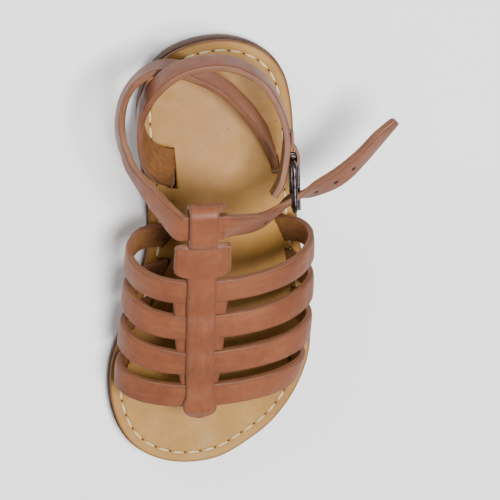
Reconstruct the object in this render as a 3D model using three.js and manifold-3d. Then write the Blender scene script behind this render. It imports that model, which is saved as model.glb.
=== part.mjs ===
// A child's left gladiator sandal: sole, insole, woven upper, ankle strap, heel strap and buckle.
// Millimetres. +Z is up and the floor is Z = 0. The toe points to -Y, the outer side of the foot is +X.
// The finished origin is on the floor under the middle of the heel.

import * as THREE from 'three';
import { mergeVertices } from 'three/addons/utils/BufferGeometryUtils.js';
import Module from 'manifold-3d';

const wasm = await Module();
wasm.setup();

// Sole sizes
const soleLength = 143;
const ballWidth = 68;
const outsoleThickness = 3;
const insoleThickness = 2.2;
const insoleInset = 0.5;
const heelLiftHeight = 5.4;
const heelLiftInset = 0.4;
const padThickness = 1.6;
const toeSpring = 3;
const toeCurve = 1.6;
const layerGap = 0.3;

// Shares of the sole's length, from the back of the heel to the tip of the toe
const waistStart = 0.35;
const treadStart = 0.6;
const treadEnd = 0.8;
const breastMedial = 0.345;
const breastLateral = 0.3;
const padStart = 0.575;
const padEnd = 0.955;
const heelRest = 0.16;

// Strap sizes
const strapThickness = 2.1;
const narrowestTip = 0.4;
const strapWidth = 9;
const heelStrapWidth = 9.2;
const ankleStrapWidth = 9.2;
const slotInset = 5.2;
const slotClearance = 0.3;
const instepHeight = 46;

// Central T strap
const spineWidth = 9.2;
const spineCover = 1.6;
const spineDip = 0.9;
const spineUnderlap = 1.3;
const stripUnderlap = 0.5;
const tipRadius = 5.5;
const tipFlare = 0.2;
const cornerRadius = 2.2;
const loopThickness = 1.9;
const loopGap = 0.35;
const loopRunOut = 1.2;
const loopRise = 2;
const loopReach = 11;
const foldInset = 0.8;

// Buckle
const frameLength = 17.6;
const frameHeight = 15;
const frameCorner = 3.4;
const wireRadius = 0.85;
const prongRadius = 0.6;
const prongTaper = 0.25;
const foldThickness = 1;
const buckleGap = 0.3;
const frameYaw = 2;
const prongBend = 70;
const keeperWidth = 2.9;
const keeperReach = 9;
const holeRadius = 0.8;
const holePitch = 7;
const holesBeforeBuckle = 2;
const holesAfterBuckle = 3;

// The ankle strap's middle inside the buckle, from the bar: a share of the way to the far side,
// then outward and upward
const crossShare = 0.776;
const crossOut = 0.45;
const crossUp = -0.09;

// Outline of the sole: edges as shares of the ball width
const outlineRows = [
  { at: 0.0, medial: 0.055, lateral: 0.055 },
  { at: 0.03, medial: -0.19, lateral: 0.265 },
  { at: 0.08, medial: -0.29, lateral: 0.355 },
  { at: 0.15, medial: -0.34, lateral: 0.395 },
  { at: 0.25, medial: -0.335, lateral: 0.41 },
  { at: 0.35, medial: -0.31, lateral: 0.418 },
  { at: 0.45, medial: -0.3, lateral: 0.435 },
  { at: 0.52, medial: -0.318, lateral: 0.462 },
  { at: 0.6, medial: -0.368, lateral: 0.49 },
  { at: 0.68, medial: -0.43, lateral: 0.504 },
  { at: 0.76, medial: -0.484, lateral: 0.492 },
  { at: 0.84, medial: -0.488, lateral: 0.425 },
  { at: 0.91, medial: -0.447, lateral: 0.312 },
  { at: 0.96, medial: -0.367, lateral: 0.17 },
  { at: 0.995, medial: -0.21, lateral: 0.005 },
  { at: 1.0, medial: -0.11, lateral: -0.11 },
];

// Outline of the forefoot pad, at as a share of the pad's own length
const padRows = [
  { at: 0.0, medial: 0.16, lateral: 0.16 },
  { at: 0.06, medial: -0.08, lateral: 0.29 },
  { at: 0.22, medial: -0.26, lateral: 0.37 },
  { at: 0.45, medial: -0.33, lateral: 0.37 },
  { at: 0.65, medial: -0.355, lateral: 0.335 },
  { at: 0.82, medial: -0.335, lateral: 0.235 },
  { at: 0.94, medial: -0.27, lateral: 0.07 },
  { at: 1.0, medial: -0.12, lateral: -0.12 },
];

// Sections of the last. Across: shares of the ball width. Height: share of the instep height.
// Waist: height of the widest place, a share of the section's height. Tuck: slots from the sole's
// edge, a share of the slot inset.
const lastRows = [
  {
    at: 0.3, ridge: -0.12, height: 1.04, medial: -0.41, lateral: 0.4,
    waist: 0.45, medialTuck: 1.5, lateralTuck: 1.2,
  },
  {
    at: 0.36, ridge: -0.117, height: 0.95, medial: -0.408, lateral: 0.415,
    waist: 0.45, medialTuck: 1.5, lateralTuck: 1.2,
  },
  {
    at: 0.44, ridge: -0.107, height: 0.83, medial: -0.402, lateral: 0.435,
    waist: 0.45, medialTuck: 1.5, lateralTuck: 1.2,
  },
  {
    at: 0.53, ridge: -0.101, height: 0.71, medial: -0.407, lateral: 0.443,
    waist: 0.45, medialTuck: 1.4, lateralTuck: 1.1,
  },
  {
    at: 0.62, ridge: -0.096, height: 0.61, medial: -0.418, lateral: 0.445,
    waist: 0.43, medialTuck: 1.2, lateralTuck: 1.15,
  },
  {
    at: 0.71, ridge: -0.091, height: 0.51, medial: -0.434, lateral: 0.43,
    waist: 0.4, medialTuck: 1.1, lateralTuck: 1.3,
  },
  {
    at: 0.8, ridge: -0.083, height: 0.395, medial: -0.44, lateral: 0.378,
    waist: 0.36, medialTuck: 1.15, lateralTuck: 1.3,
  },
  {
    at: 0.88, ridge: -0.076, height: 0.28, medial: -0.415, lateral: 0.33,
    waist: 0.34, medialTuck: 1.1, lateralTuck: 1.2,
  },
];
const lowShare = 0.35;

// Vamp straps, from the medial slot (round -1) over the ridge (0) to the lateral slot (1).
// At: share of the sole's length. Turn: degrees that the strap is turned about the vertical.
const vampStraps = [
  {
    crossing: 0.527,
    rows: [
      { round: -1, at: 0.456, turn: 45 },
      { round: -0.82, at: 0.45, turn: 22 },
      { round: -0.62, at: 0.485, turn: 0 },
      { round: -0.3, at: 0.52, turn: 0 },
      { round: 0, at: 0.527, turn: 0 },
      { round: 0.3, at: 0.505, turn: 0 },
      { round: 0.62, at: 0.455, turn: 0 },
      { round: 0.82, at: 0.44, turn: -8 },
      { round: 1, at: 0.447, turn: -16 },
    ],
  },
  {
    crossing: 0.62,
    rows: [
      { round: -1, at: 0.545, turn: 12 },
      { round: -0.62, at: 0.572, turn: 0 },
      { round: -0.3, at: 0.61, turn: 0 },
      { round: 0, at: 0.62, turn: 0 },
      { round: 0.3, at: 0.6, turn: 0 },
      { round: 0.62, at: 0.555, turn: 0 },
      { round: 1, at: 0.53, turn: 0 },
    ],
  },
  {
    crossing: 0.712,
    rows: [
      { round: -1, at: 0.635, turn: 12 },
      { round: -0.62, at: 0.665, turn: 0 },
      { round: -0.3, at: 0.7, turn: 0 },
      { round: 0, at: 0.712, turn: 0 },
      { round: 0.3, at: 0.695, turn: 0 },
      { round: 0.62, at: 0.657, turn: 0 },
      { round: 1, at: 0.625, turn: 0 },
    ],
  },
  {
    crossing: 0.797,
    rows: [
      { round: -1, at: 0.75, turn: 6 },
      { round: -0.62, at: 0.765, turn: 0 },
      { round: -0.3, at: 0.79, turn: 0 },
      { round: 0, at: 0.797, turn: 0 },
      { round: 0.3, at: 0.785, turn: 0 },
      { round: 0.62, at: 0.755, turn: 0 },
      { round: 1, at: 0.735, turn: -8 },
    ],
  },
];

// Wide layer of the T strap: width as a share of the narrow strip's width
const spineRows = [
  { at: 0.398, wide: 1.95 },
  { at: 0.49, wide: 1.95 },
  { at: 0.57, wide: 1.87 },
  { at: 0.665, wide: 1.7 },
  { at: 0.755, wide: 1.4 },
  { at: 0.82, wide: 1.2 },
  { at: 0.853, wide: 1.2 },
];
const stripStart = 0.482;
const stripSink = 0.35;
const tipSink = 0.65;
const loopAt = 0.351;

// Free straps. Across: share of the ball width. At: share of the sole's length. Up: share of the
// instep height above the floor. Facing: compass of the outer face, 0 outer side, 90 heel, 180 inner
// side, 270 toe. Lean: degrees that this face tips upward. Wide: share of the strap's width.
const ankleRows = [
  { across: 0.318, at: 0.283, up: 0.17, facing: 30, lean: 24, wide: 1.1 },
  { across: 0.295, at: 0.254, up: 0.245, facing: 32, lean: 24, wide: 1.08 },
  { across: 0.238, at: 0.205, up: 0.35, facing: 36, lean: 24, wide: 1.02 },
  { across: 0.156, at: 0.15, up: 0.455, facing: 44, lean: 24, wide: 1 },
  { across: 0.03, at: 0.092, up: 0.53, facing: 62, lean: 24, wide: 1 },
  { across: -0.127, at: 0.054, up: 0.555, facing: 92, lean: 20, wide: 1 },
  { across: -0.282, at: 0.045, up: 0.57, facing: 122, lean: 12, wide: 1 },
  { across: -0.417, at: 0.085, up: 0.68, facing: 150, lean: 2, wide: 1 },
  { across: -0.472, at: 0.15, up: 0.86, facing: 178, lean: 4, wide: 1 },
  { across: -0.445, at: 0.225, up: 0.96, facing: 205, lean: 12, wide: 1 },
  { across: -0.375, at: 0.278, up: 1.04, facing: 224, lean: 27, wide: 1 },
  { across: -0.312, at: 0.314, up: 1.1, facing: 246, lean: 46, wide: 1 },
];
const ankleRowsAfterLoop = [
  { across: 0.17, at: 0.365, up: 1.02, facing: 286, lean: 44, wide: 1 },
  { across: 0.255, at: 0.35, up: 0.935, facing: 290, lean: 28, wide: 1 },
  { across: 0.345, at: 0.323, up: 0.875, facing: 292, lean: 9, wide: 1 },
  { across: 0.44, at: 0.31, up: 0.84, facing: 294, lean: 34, wide: 1 },
  { across: 0.555, at: 0.284, up: 0.83, facing: 303, lean: 54, wide: 1 },
  { across: 0.655, at: 0.24, up: 0.855, facing: 313, lean: 54, wide: 1 },
  { across: 0.745, at: 0.19, up: 0.885, facing: 318, lean: 50, wide: 0.92 },
  { across: 0.815, at: 0.155, up: 0.91, facing: 320, lean: 48, wide: 0.62 },
];
const buckleRow = 2;

const heelRows = [
  { across: 0.243, at: 0.318, up: 0.87, facing: -16, lean: 3, wide: 0.9 },
  { across: 0.278, at: 0.287, up: 0.87, facing: -10, lean: 4, wide: 1 },
  { across: 0.3, at: 0.235, up: 0.87, facing: 0, lean: 4, wide: 1 },
  { across: 0.305, at: 0.18, up: 0.87, facing: 14, lean: 5, wide: 1 },
  { across: 0.272, at: 0.118, up: 0.86, facing: 36, lean: 8, wide: 1 },
  { across: 0.19, at: 0.058, up: 0.86, facing: 60, lean: 11, wide: 1 },
  { across: 0.07, at: 0.024, up: 0.86, facing: 84, lean: 13, wide: 1 },
  { across: -0.07, at: 0.018, up: 0.855, facing: 104, lean: 13, wide: 1 },
  { across: -0.205, at: 0.036, up: 0.835, facing: 126, lean: 13, wide: 1 },
  { across: -0.31, at: 0.08, up: 0.78, facing: 148, lean: 12, wide: 1 },
  { across: -0.358, at: 0.142, up: 0.645, facing: 166, lean: 4, wide: 1 },
  { across: -0.35, at: 0.204, up: 0.535, facing: 178, lean: -10, wide: 1.05 },
  { across: -0.31, at: 0.252, up: 0.43, facing: 184, lean: -24, wide: 1.15 },
  { across: -0.245, at: 0.281, up: 0.325, facing: 184, lean: -34, wide: 1.28 },
  { across: -0.18, at: 0.296, up: 0.22, facing: 182, lean: -38, wide: 1.35 },
];
const barRow = 2;

// Smooth reading of one column of a table of rows
function column(rows, key, name, value) {
  const last = rows.length - 1;
  let i = 0;
  while (i < last - 1 && value > rows[i + 1][key]) i += 1;
  const slope = (k) => {
    const low = rows[Math.max(k - 1, 0)];
    const high = rows[Math.min(k + 1, last)];
    return (high[name] - low[name]) / (high[key] - low[key]);
  };
  const span = rows[i + 1][key] - rows[i][key];
  const t = THREE.MathUtils.clamp((value - rows[i][key]) / span, 0, 1);
  const rise = 3 * t * t - 2 * t * t * t;
  const start = rows[i][name] * (1 - rise) + rows[i + 1][name] * rise;
  const bend = slope(i) * t * (1 - t) * (1 - t) - slope(i + 1) * t * t * (1 - t);
  return start + bend * span;
}

// Heights of the sole's layers at a share of the length
function outsoleBottom(at) {
  const heelTop = heelLiftHeight + layerGap;
  const padTop = padThickness + layerGap;
  const fall = THREE.MathUtils.smoothstep(at, waistStart, treadStart);
  const lift = Math.max(at - treadEnd, 0) / (1 - treadEnd);
  return heelTop + (padTop - heelTop) * fall + toeSpring * lift ** toeCurve;
}

function outsoleTop(at) {
  return outsoleBottom(at) + outsoleThickness;
}

function insoleBottom(at) {
  return outsoleTop(at) + layerGap;
}

function insoleTop(at) {
  return insoleBottom(at) + insoleThickness;
}

function lengthwise(at) {
  return soleLength * (0.5 - at);
}

// A closed outline read at a share of its own length, round at both ends
function makeOutline(rows) {
  const turned = rows.map((row) => ({ ...row, turn: Math.acos(1 - 2 * row.at) }));
  return (share) => {
    const turn = Math.acos(1 - 2 * THREE.MathUtils.clamp(share, 0, 1));
    return {
      medial: ballWidth * column(turned, 'turn', 'medial', turn),
      lateral: ballWidth * column(turned, 'turn', 'lateral', turn),
    };
  };
}

const soleOutline = makeOutline(outlineRows);
const padOutline = makeOutline(padRows);

// A closed solid from points and triangles, with faces turned outward
function makeSolid(points, triangles) {
  const raw = new THREE.BufferGeometry();
  raw.setAttribute('position', new THREE.Float32BufferAttribute(points.flatMap((p) => p.toArray()), 3));
  raw.setIndex(triangles.flat());
  const merged = mergeVertices(raw, 1e-4);
  const index = Array.from(merged.index.array);
  const kept = [];
  for (let i = 0; i < index.length; i += 3) {
    const [a, b, c] = index.slice(i, i + 3);
    if (a !== b && b !== c && c !== a) kept.push([a, b, c]);
  }
  const position = merged.getAttribute('position');
  const corner = (k) => new THREE.Vector3().fromBufferAttribute(position, k);
  const volume = kept.reduce((sum, [a, b, c]) => sum + corner(a).dot(corner(b).cross(corner(c))), 0);
  const turned = volume < 0 ? kept.map(([a, b, c]) => [a, c, b]) : kept;
  return new wasm.Manifold(new wasm.Mesh({
    numProp: 3,
    vertProperties: position.array,
    triVerts: new Uint32Array(turned.flat()),
  }));
}

// A skin over rings of equal length, closed at both ends or joined into a loop
function skin(rings, joined = false) {
  const size = rings[0].length;
  const triangles = [];
  const steps = joined ? rings.length : rings.length - 1;
  for (let i = 0; i < steps; i += 1) {
    const here = i * size;
    const next = ((i + 1) % rings.length) * size;
    for (let k = 0; k < size; k += 1) {
      const after = (k + 1) % size;
      triangles.push([here + k, here + after, next + k], [here + after, next + after, next + k]);
    }
  }
  if (!joined) {
    const end = (rings.length - 1) * size;
    for (let k = 1; k < size - 1; k += 1) {
      triangles.push([0, k + 1, k], [end, end + k, end + k + 1]);
    }
  }
  return makeSolid(rings.flat(), triangles);
}

// A layer of the sole between two height functions
function plate({ outline, from, to, widen, top, bottom, rows, columns }) {
  const rings = [];
  for (let r = 0; r <= rows; r += 1) {
    const share = (1 - Math.cos((Math.PI * r) / rows)) / 2;
    const at = from + (to - from) * share;
    const edge = outline(share);
    const upper = [];
    const lower = [];
    for (let c = 0; c <= columns; c += 1) {
      const x = widen * THREE.MathUtils.lerp(edge.medial, edge.lateral, c / columns);
      upper.push(new THREE.Vector3(x, lengthwise(at), top(at)));
      lower.unshift(new THREE.Vector3(x, lengthwise(at), bottom(at)));
    }
    rings.push([...upper, ...lower]);
  }
  return skinPlate(rings);
}

// Top, bottom and side faces of a layer whose rings hold the top row, then the bottom row
function skinPlate(rings) {
  const size = rings[0].length;
  const triangles = [];
  for (let i = 0; i < rings.length - 1; i += 1) {
    const here = i * size;
    const next = here + size;
    for (let k = 0; k < size; k += 1) {
      const after = (k + 1) % size;
      triangles.push([here + k, here + after, next + after], [here + k, next + after, next + k]);
    }
  }
  return makeSolid(rings.flat(), triangles);
}

function insetPlate(inset, options) {
  const trim = inset / soleLength;
  const widen = 1 - (2 * inset) / ballWidth;
  return plate({ outline: soleOutline, from: trim, to: 1 - trim, widen, ...options });
}

// A flat strap along a path of points, each with its outward face, between two offsets from the path
function band(path, { inner, outer, grow = 0, overrun = 0 }) {
  const steps = path.map((row) => ({ ...row, point: row.point.clone() }));
  if (overrun > 0) {
    const first = steps[0];
    const last = steps[steps.length - 1];
    const back = first.point.clone().sub(steps[1].point).setLength(overrun);
    const onward = last.point.clone().sub(steps[steps.length - 2].point).setLength(overrun);
    steps.unshift({ ...first, point: first.point.clone().add(back) });
    steps.push({ ...last, point: last.point.clone().add(onward) });
  }
  const rings = steps.map((step, i) => {
    const before = steps[Math.max(i - 1, 0)].point;
    const after = steps[Math.min(i + 1, steps.length - 1)].point;
    const along = after.clone().sub(before).normalize();
    const across = along.clone().cross(step.face).normalize();
    const out = across.clone().cross(along);
    const half = step.width / 2 + grow;
    const place = (side, rise) => (
      step.point.clone().addScaledVector(across, side).addScaledVector(out, rise)
    );
    return [
      place(-half, inner - grow),
      place(half, inner - grow),
      place(half, outer + grow),
      place(-half, outer + grow),
    ];
  });
  return skin(rings);
}

// A round rod along a path, open or joined into a ring
function rod(points, radiusAt, sides, joined = false) {
  const count = points.length;
  const rings = [];
  let guide = new THREE.Vector3(1, 0, 0);
  points.forEach((point, i) => {
    const before = points[joined ? (i + count - 1) % count : Math.max(i - 1, 0)];
    const after = points[joined ? (i + 1) % count : Math.min(i + 1, count - 1)];
    const along = after.clone().sub(before).normalize();
    const across = guide.clone().addScaledVector(along, -guide.dot(along)).normalize();
    const up = along.clone().cross(across);
    guide = across;
    const ring = [];
    for (let k = 0; k < sides; k += 1) {
      const turn = (2 * Math.PI * k) / sides;
      const reach = radiusAt(i / (count - 1));
      const spoke = across.clone().multiplyScalar(Math.cos(turn)).addScaledVector(up, Math.sin(turn));
      ring.push(point.clone().addScaledVector(spoke, reach));
    }
    rings.push(ring);
  });
  return skin(rings, joined);
}

// Shape of the last
function lastPoint(at, side, climb) {
  const read = (name) => column(lastRows, 'at', name, at);
  const sign = side === 'medial' ? -1 : 1;
  const ridge = ballWidth * read('ridge');
  const height = instepHeight * read('height');
  const waist = height * read('waist');
  const bulge = ballWidth * read(side);
  const base = soleOutline(at)[side] - sign * slotInset * read(`${side}Tuck`);
  const floor = insoleTop(at);
  if (climb < lowShare) {
    const rise = climb / lowShare;
    const x = base + (bulge - base) * Math.sin((rise * Math.PI) / 2);
    return new THREE.Vector3(x, lengthwise(at), floor + waist * rise);
  }
  const turn = ((climb - lowShare) / (1 - lowShare)) * (Math.PI / 2);
  const x = ridge + (bulge - ridge) * Math.cos(turn);
  return new THREE.Vector3(x, lengthwise(at), floor + waist + (height - waist) * Math.sin(turn));
}

// A place on the last, round from the medial slot (-1) over the ridge (0) to the lateral slot (1)
function lastPlace(at, round) {
  return lastPoint(at, round < 0 ? 'medial' : 'lateral', 1 - Math.abs(round));
}

function lastFace(at, round) {
  const step = 0.01;
  const inside = THREE.MathUtils.clamp(round, -1 + step, 1 - step);
  const along = lastPlace(at + step, round).sub(lastPlace(at - step, round));
  const around = lastPlace(at, inside + step).sub(lastPlace(at, inside - step));
  return around.cross(along).normalize().negate();
}

// The path of a vamp strap over the last
const vampSteps = 44;

function vampPath(strap) {
  const path = [];
  for (let i = 0; i <= vampSteps; i += 1) {
    const round = -1 + (2 * i) / vampSteps;
    const at = column(strap.rows, 'round', 'at', round);
    const turn = column(strap.rows, 'round', 'turn', round);
    const face = lastFace(at, round);
    face.applyAxisAngle(new THREE.Vector3(0, 0, 1), THREE.MathUtils.degToRad(-turn));
    path.push({ point: lastPlace(at, round), face, width: strapWidth });
  }
  return path;
}

// Width of a strap near an end that is rounded to a radius
function roundedWidth(width, distance, radius) {
  if (distance >= radius) return width;
  const bite = radius - Math.sqrt(radius ** 2 - (radius - Math.max(distance, 0)) ** 2);
  return Math.max(width - 2 * bite, narrowestTip);
}

// The path of the T strap down the ridge. It slopes, so that a step of it is longer than its share.
const ridgeSlope = 1.1;

function ridgePath(from, to, steps, widthAt) {
  const path = [];
  for (let i = 0; i <= steps; i += 1) {
    const share = (1 - Math.cos((Math.PI * i) / steps)) / 2;
    const at = from + (to - from) * share;
    path.push({ at, point: lastPlace(at, 0), face: lastFace(at, 0), width: widthAt(at) });
  }
  return path;
}

function spineLayer() {
  const first = spineRows[0].at;
  const last = spineRows[spineRows.length - 1].at;
  const widthAt = (at) => {
    const width = spineWidth * column(spineRows, 'at', 'wide', at);
    const fromStart = (at - first) * soleLength * ridgeSlope;
    const fromEnd = (last - at) * soleLength * ridgeSlope;
    return Math.min(roundedWidth(width, fromStart, cornerRadius), roundedWidth(width, fromEnd, tipRadius));
  };
  return band(ridgePath(first, last, 48, widthAt), {
    inner: -spineUnderlap,
    outer: strapThickness - spineUnderlap,
  });
}

// The narrow strip that lies over the vamp straps, lower between them
function spineStrip() {
  const last = spineRows[spineRows.length - 1].at;
  const first = vampStraps[0].crossing;
  const final = vampStraps[3].crossing;
  const pitch = vampStraps[1].crossing - first;
  const widthAt = (at) => {
    const flare = THREE.MathUtils.smoothstep(at, final, last - 0.02);
    const fromEnd = (last - at) * soleLength * ridgeSlope;
    const rounded = roundedWidth(spineWidth * (1 + tipFlare), fromEnd, tipRadius);
    return Math.min(rounded, spineWidth * (1 + tipFlare * flare));
  };
  const low = strapThickness - spineUnderlap - stripSink;
  const rings = ridgePath(stripStart, last, 60, widthAt).map(({ at, point, face, width }) => {
    const wave = Math.cos((2 * Math.PI * (at - first)) / pitch);
    const crest = strapThickness + spineCover - spineDip * (0.5 - 0.5 * wave);
    const entry = THREE.MathUtils.smoothstep(at, stripStart, first - pitch * 0.35);
    const exit = THREE.MathUtils.smoothstep(at, final + pitch * 0.25, last);
    const rise = low + (crest - low) * entry * (1 - tipSink * exit);
    const place = (side, up) => point.clone().addScaledVector(face, up).setX(point.x + side);
    return [
      place(-width / 2, -stripUnderlap),
      place(width / 2, -stripUnderlap),
      place(width / 2, rise),
      place(-width / 2, rise),
    ];
  });
  return skin(rings);
}

// Where the ankle strap crosses the ridge, inside the loop
const loopInner = -spineUnderlap + loopThickness + loopGap;
const loopFace = lastFace(loopAt, 0);
const loopBack = lastPlace(loopAt - 0.01, 0).sub(lastPlace(loopAt + 0.01, 0)).normalize();
const loopCentre = lastPlace(loopAt, 0).addScaledVector(loopFace, loopInner + strapThickness / 2);

// The end of the T strap, folded back round the ankle strap
function spineLoop() {
  const half = ankleStrapWidth / 2 + loopGap;
  const rise = strapThickness / 2 + loopGap + loopThickness / 2;
  const sink = loopInner + spineUnderlap;
  const line = new THREE.Path();
  line.moveTo(-loopReach, -sink);
  const start = -half - loopRise;
  line.bezierCurveTo(start - loopRise, -sink, start - loopRise, rise, start + loopRise * 0.9, rise);
  line.lineTo(half, rise);
  line.absarc(half, 0, rise, Math.PI / 2, -Math.PI / 2, true);
  line.lineTo(-loopReach, -rise);
  const path = line.getSpacedPoints(46).map((p, i, all) => {
    const before = all[Math.max(i - 1, 0)];
    const after = all[Math.min(i + 1, all.length - 1)];
    const normal = new THREE.Vector2(before.y - after.y, after.x - before.x).normalize();
    const point = loopCentre.clone().addScaledVector(loopBack, p.x).addScaledVector(loopFace, p.y);
    const face = loopBack.clone().multiplyScalar(normal.x).addScaledVector(loopFace, normal.y);
    const fold = THREE.MathUtils.smoothstep(i / (all.length - 1), 0.5, 0.72);
    return { point, face, width: spineWidth - foldInset * fold };
  });
  return band(path, { inner: -loopThickness / 2, outer: loopThickness / 2 });
}

function rowPlace(row) {
  return new THREE.Vector3(ballWidth * row.across, lengthwise(row.at), instepHeight * row.up);
}

// The path of a free strap from its rows
function freePath(rows, width, steps) {
  const places = rows.map((row) => row.point ?? rowPlace(row));
  const curve = new THREE.CatmullRomCurve3(places, false, 'centripetal');
  const keyed = rows.map((row, i) => ({ ...row, step: i }));
  const path = [];
  for (let i = 0; i <= steps; i += 1) {
    const t = i / steps;
    const step = t * (rows.length - 1);
    const along = curve.getTangent(t);
    const facing = THREE.MathUtils.degToRad(column(keyed, 'step', 'facing', step));
    const lean = THREE.MathUtils.degToRad(column(keyed, 'step', 'lean', step));
    const level = Math.cos(lean);
    const face = new THREE.Vector3(level * Math.cos(facing), level * Math.sin(facing), Math.sin(lean));
    path.push({ point: curve.getPoint(t), face, along, width: width * column(keyed, 'step', 'wide', step) });
  }
  return path;
}

const stepsPerRow = 4;
const heelPath = freePath(heelRows, heelStrapWidth, stepsPerRow * (heelRows.length - 1));
const halfThickness = strapThickness / 2;
const strapOffsets = { inner: -halfThickness, outer: halfThickness };

// The buckle stands on the outer face of the heel strap
const barStep = heelPath[barRow * stepsPerRow];
const barForward = barStep.along.clone().negate();
const barUp = barForward.clone().cross(barStep.face).normalize();
const barOut = barUp.clone().cross(barForward).normalize();
const barDistance = halfThickness + buckleGap + wireRadius;
const barCentre = barStep.point.clone().addScaledVector(barOut, barDistance);
const yaw = THREE.MathUtils.degToRad(frameYaw);
const frameForward = new THREE.Vector3(Math.sin(yaw), -Math.cos(yaw), 0);
frameForward.addScaledVector(barUp, -barUp.dot(frameForward)).normalize();
const frameOut = barUp.clone().cross(frameForward).normalize();
const placeFrom = (ahead, outward) => (forward, out, up) => {
  const place = barCentre.clone().addScaledVector(ahead, forward);
  return place.addScaledVector(outward, out).addScaledVector(barUp, up);
};
const barPlace = placeFrom(barForward, barOut);
const framePlace = placeFrom(frameForward, frameOut);

// Through the loop the ankle strap runs straight; from there it is led to the buckle
const frameReach = frameLength - 2 * wireRadius;
const ridgeLean = THREE.MathUtils.radToDeg(Math.asin(loopFace.z));
const loopRows = [-2, -1, 0, 1, 2].map((k) => {
  const aside = Math.sign(k) * (spineWidth / 2) + k * loopRunOut;
  return { point: loopCentre.clone().setX(loopCentre.x + aside), facing: 270, lean: ridgeLean, wide: 1 };
});
const crossPoint = framePlace(frameReach * crossShare, crossOut, crossUp);
const buckleShift = crossPoint.sub(rowPlace(ankleRowsAfterLoop[buckleRow]));
const buckleRows = ankleRowsAfterLoop.map((row, i) => {
  const share = Math.min((i + 1) / (buckleRow + 1), 1);
  return { ...row, point: rowPlace(row).addScaledVector(buckleShift, share) };
});
const ankleTable = [...ankleRows, ...loopRows, ...buckleRows];
const anklePath = freePath(ankleTable, ankleStrapWidth, stepsPerRow * (ankleTable.length - 1));

// A ring of round wire with rounded corners; its rear side is the bar
function framePoints() {
  const reach = frameReach;
  const half = frameHeight / 2 - wireRadius;
  const corner = frameCorner - wireRadius;
  const quarter = Math.PI / 2;
  const shape = new THREE.Path();
  shape.moveTo(corner, -half);
  shape.lineTo(reach - corner, -half);
  shape.absarc(reach - corner, corner - half, corner, -quarter, 0, false);
  shape.lineTo(reach, half - corner);
  shape.absarc(reach - corner, half - corner, corner, 0, quarter, false);
  shape.lineTo(corner, half);
  shape.absarc(corner, half - corner, corner, quarter, 2 * quarter, false);
  shape.lineTo(0, corner - half);
  shape.absarc(corner, corner - half, corner, 2 * quarter, 3 * quarter, false);
  return shape.getSpacedPoints(48).slice(0, 48).map((p) => framePlace(p.x, 0, p.y));
}

// The prong turns round the bar and reaches over the far side of the ring
function prongPoints() {
  const reach = wireRadius + buckleGap + prongRadius;
  const turn = THREE.MathUtils.degToRad(prongBend) / 2;
  const line = new THREE.Path();
  line.absarc(0, 0, reach, -turn, turn - Math.PI, true);
  line.absarc(0, 0, reach, turn - Math.PI, -1.5 * Math.PI, true);
  line.lineTo(frameReach + wireRadius, reach);
  return line.getPoints(9).map((p) => framePlace(p.x, p.y, 0));
}

const frameSolid = rod(framePoints(), () => wireRadius, 10, true);
const prongLine = prongPoints();
const prongShape = (grow) => rod(prongLine, (t) => prongRadius * (1 - prongTaper * t) + grow, 8);
const prongSolid = prongShape(0);

// Two keeper loops of the heel strap, folded over the bar, one each side of the prong
function keeperLoop(offset) {
  const reach = wireRadius + buckleGap + foldThickness / 2;
  const sunk = halfThickness - barDistance;
  const line = new THREE.Path();
  line.moveTo(-keeperReach, sunk - foldThickness / 4);
  line.lineTo(-keeperReach * 0.6, sunk + foldThickness / 3);
  line.bezierCurveTo(-keeperReach * 0.4, sunk + foldThickness, -2 * reach, reach, 0, reach);
  line.absarc(0, 0, reach, Math.PI / 2, -Math.PI * 0.42, true);
  const path = line.getSpacedPoints(22).map((p, i, all) => {
    const before = all[Math.max(i - 1, 0)];
    const after = all[Math.min(i + 1, all.length - 1)];
    const normal = new THREE.Vector2(before.y - after.y, after.x - before.x).normalize();
    const face = barForward.clone().multiplyScalar(normal.x).addScaledVector(barOut, normal.y);
    return { point: barPlace(p.x, p.y, offset), face, width: keeperWidth };
  });
  return band(path, { inner: -foldThickness / 2, outer: foldThickness / 2 });
}

// Punched holes of the ankle strap, stepped from the one that holds the prong
function punchedHoles() {
  const lengths = [0];
  for (let i = 1; i < anklePath.length; i += 1) {
    lengths.push(lengths[i - 1] + anklePath[i].point.distanceTo(anklePath[i - 1].point));
  }
  const buckleStep = (ankleRows.length + loopRows.length + buckleRow) * stepsPerRow;
  const holes = [];
  for (let k = -holesBeforeBuckle; k <= holesAfterBuckle; k += 1) {
    const target = lengths[buckleStep] + k * holePitch;
    const i = lengths.findIndex((length) => length > target);
    const t = (target - lengths[i - 1]) / (lengths[i] - lengths[i - 1]);
    const point = anklePath[i - 1].point.clone().lerp(anklePath[i].point, t);
    const ends = [-strapThickness, strapThickness];
    const drill = ends.map((side) => point.clone().addScaledVector(anklePath[i].face, side));
    holes.push(rod(drill, () => holeRadius, 12));
  }
  return holes;
}

// Everything below the insole, to trim the strap ends flush
const soleDepth = heelLiftHeight + outsoleThickness;
const below = plate({
  outline: soleOutline,
  from: -0.05,
  to: 1.05,
  widen: 1.1,
  top: insoleBottom,
  bottom: () => -soleDepth,
  rows: 40,
  columns: 2,
});

const footDepth = insoleThickness + 1.8;
const vampPaths = vampStraps.map(vampPath);
const vampOffsets = { inner: 0, outer: strapThickness };
const vampSolids = vampPaths.map((path) => band(path, { ...vampOffsets, overrun: footDepth }));
const spineSolids = [spineLayer(), spineStrip(), spineLoop()];
const upperSolid = wasm.Manifold.union([...vampSolids, ...spineSolids]).subtract(below);

const keeperOffset = prongRadius + slotClearance + keeperWidth / 2;
const heelStrapSolid = wasm.Manifold.union([
  band(heelPath, { ...strapOffsets, overrun: footDepth }),
  keeperLoop(keeperOffset),
  keeperLoop(-keeperOffset),
]).subtract(prongShape(slotClearance)).subtract(below);

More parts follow.
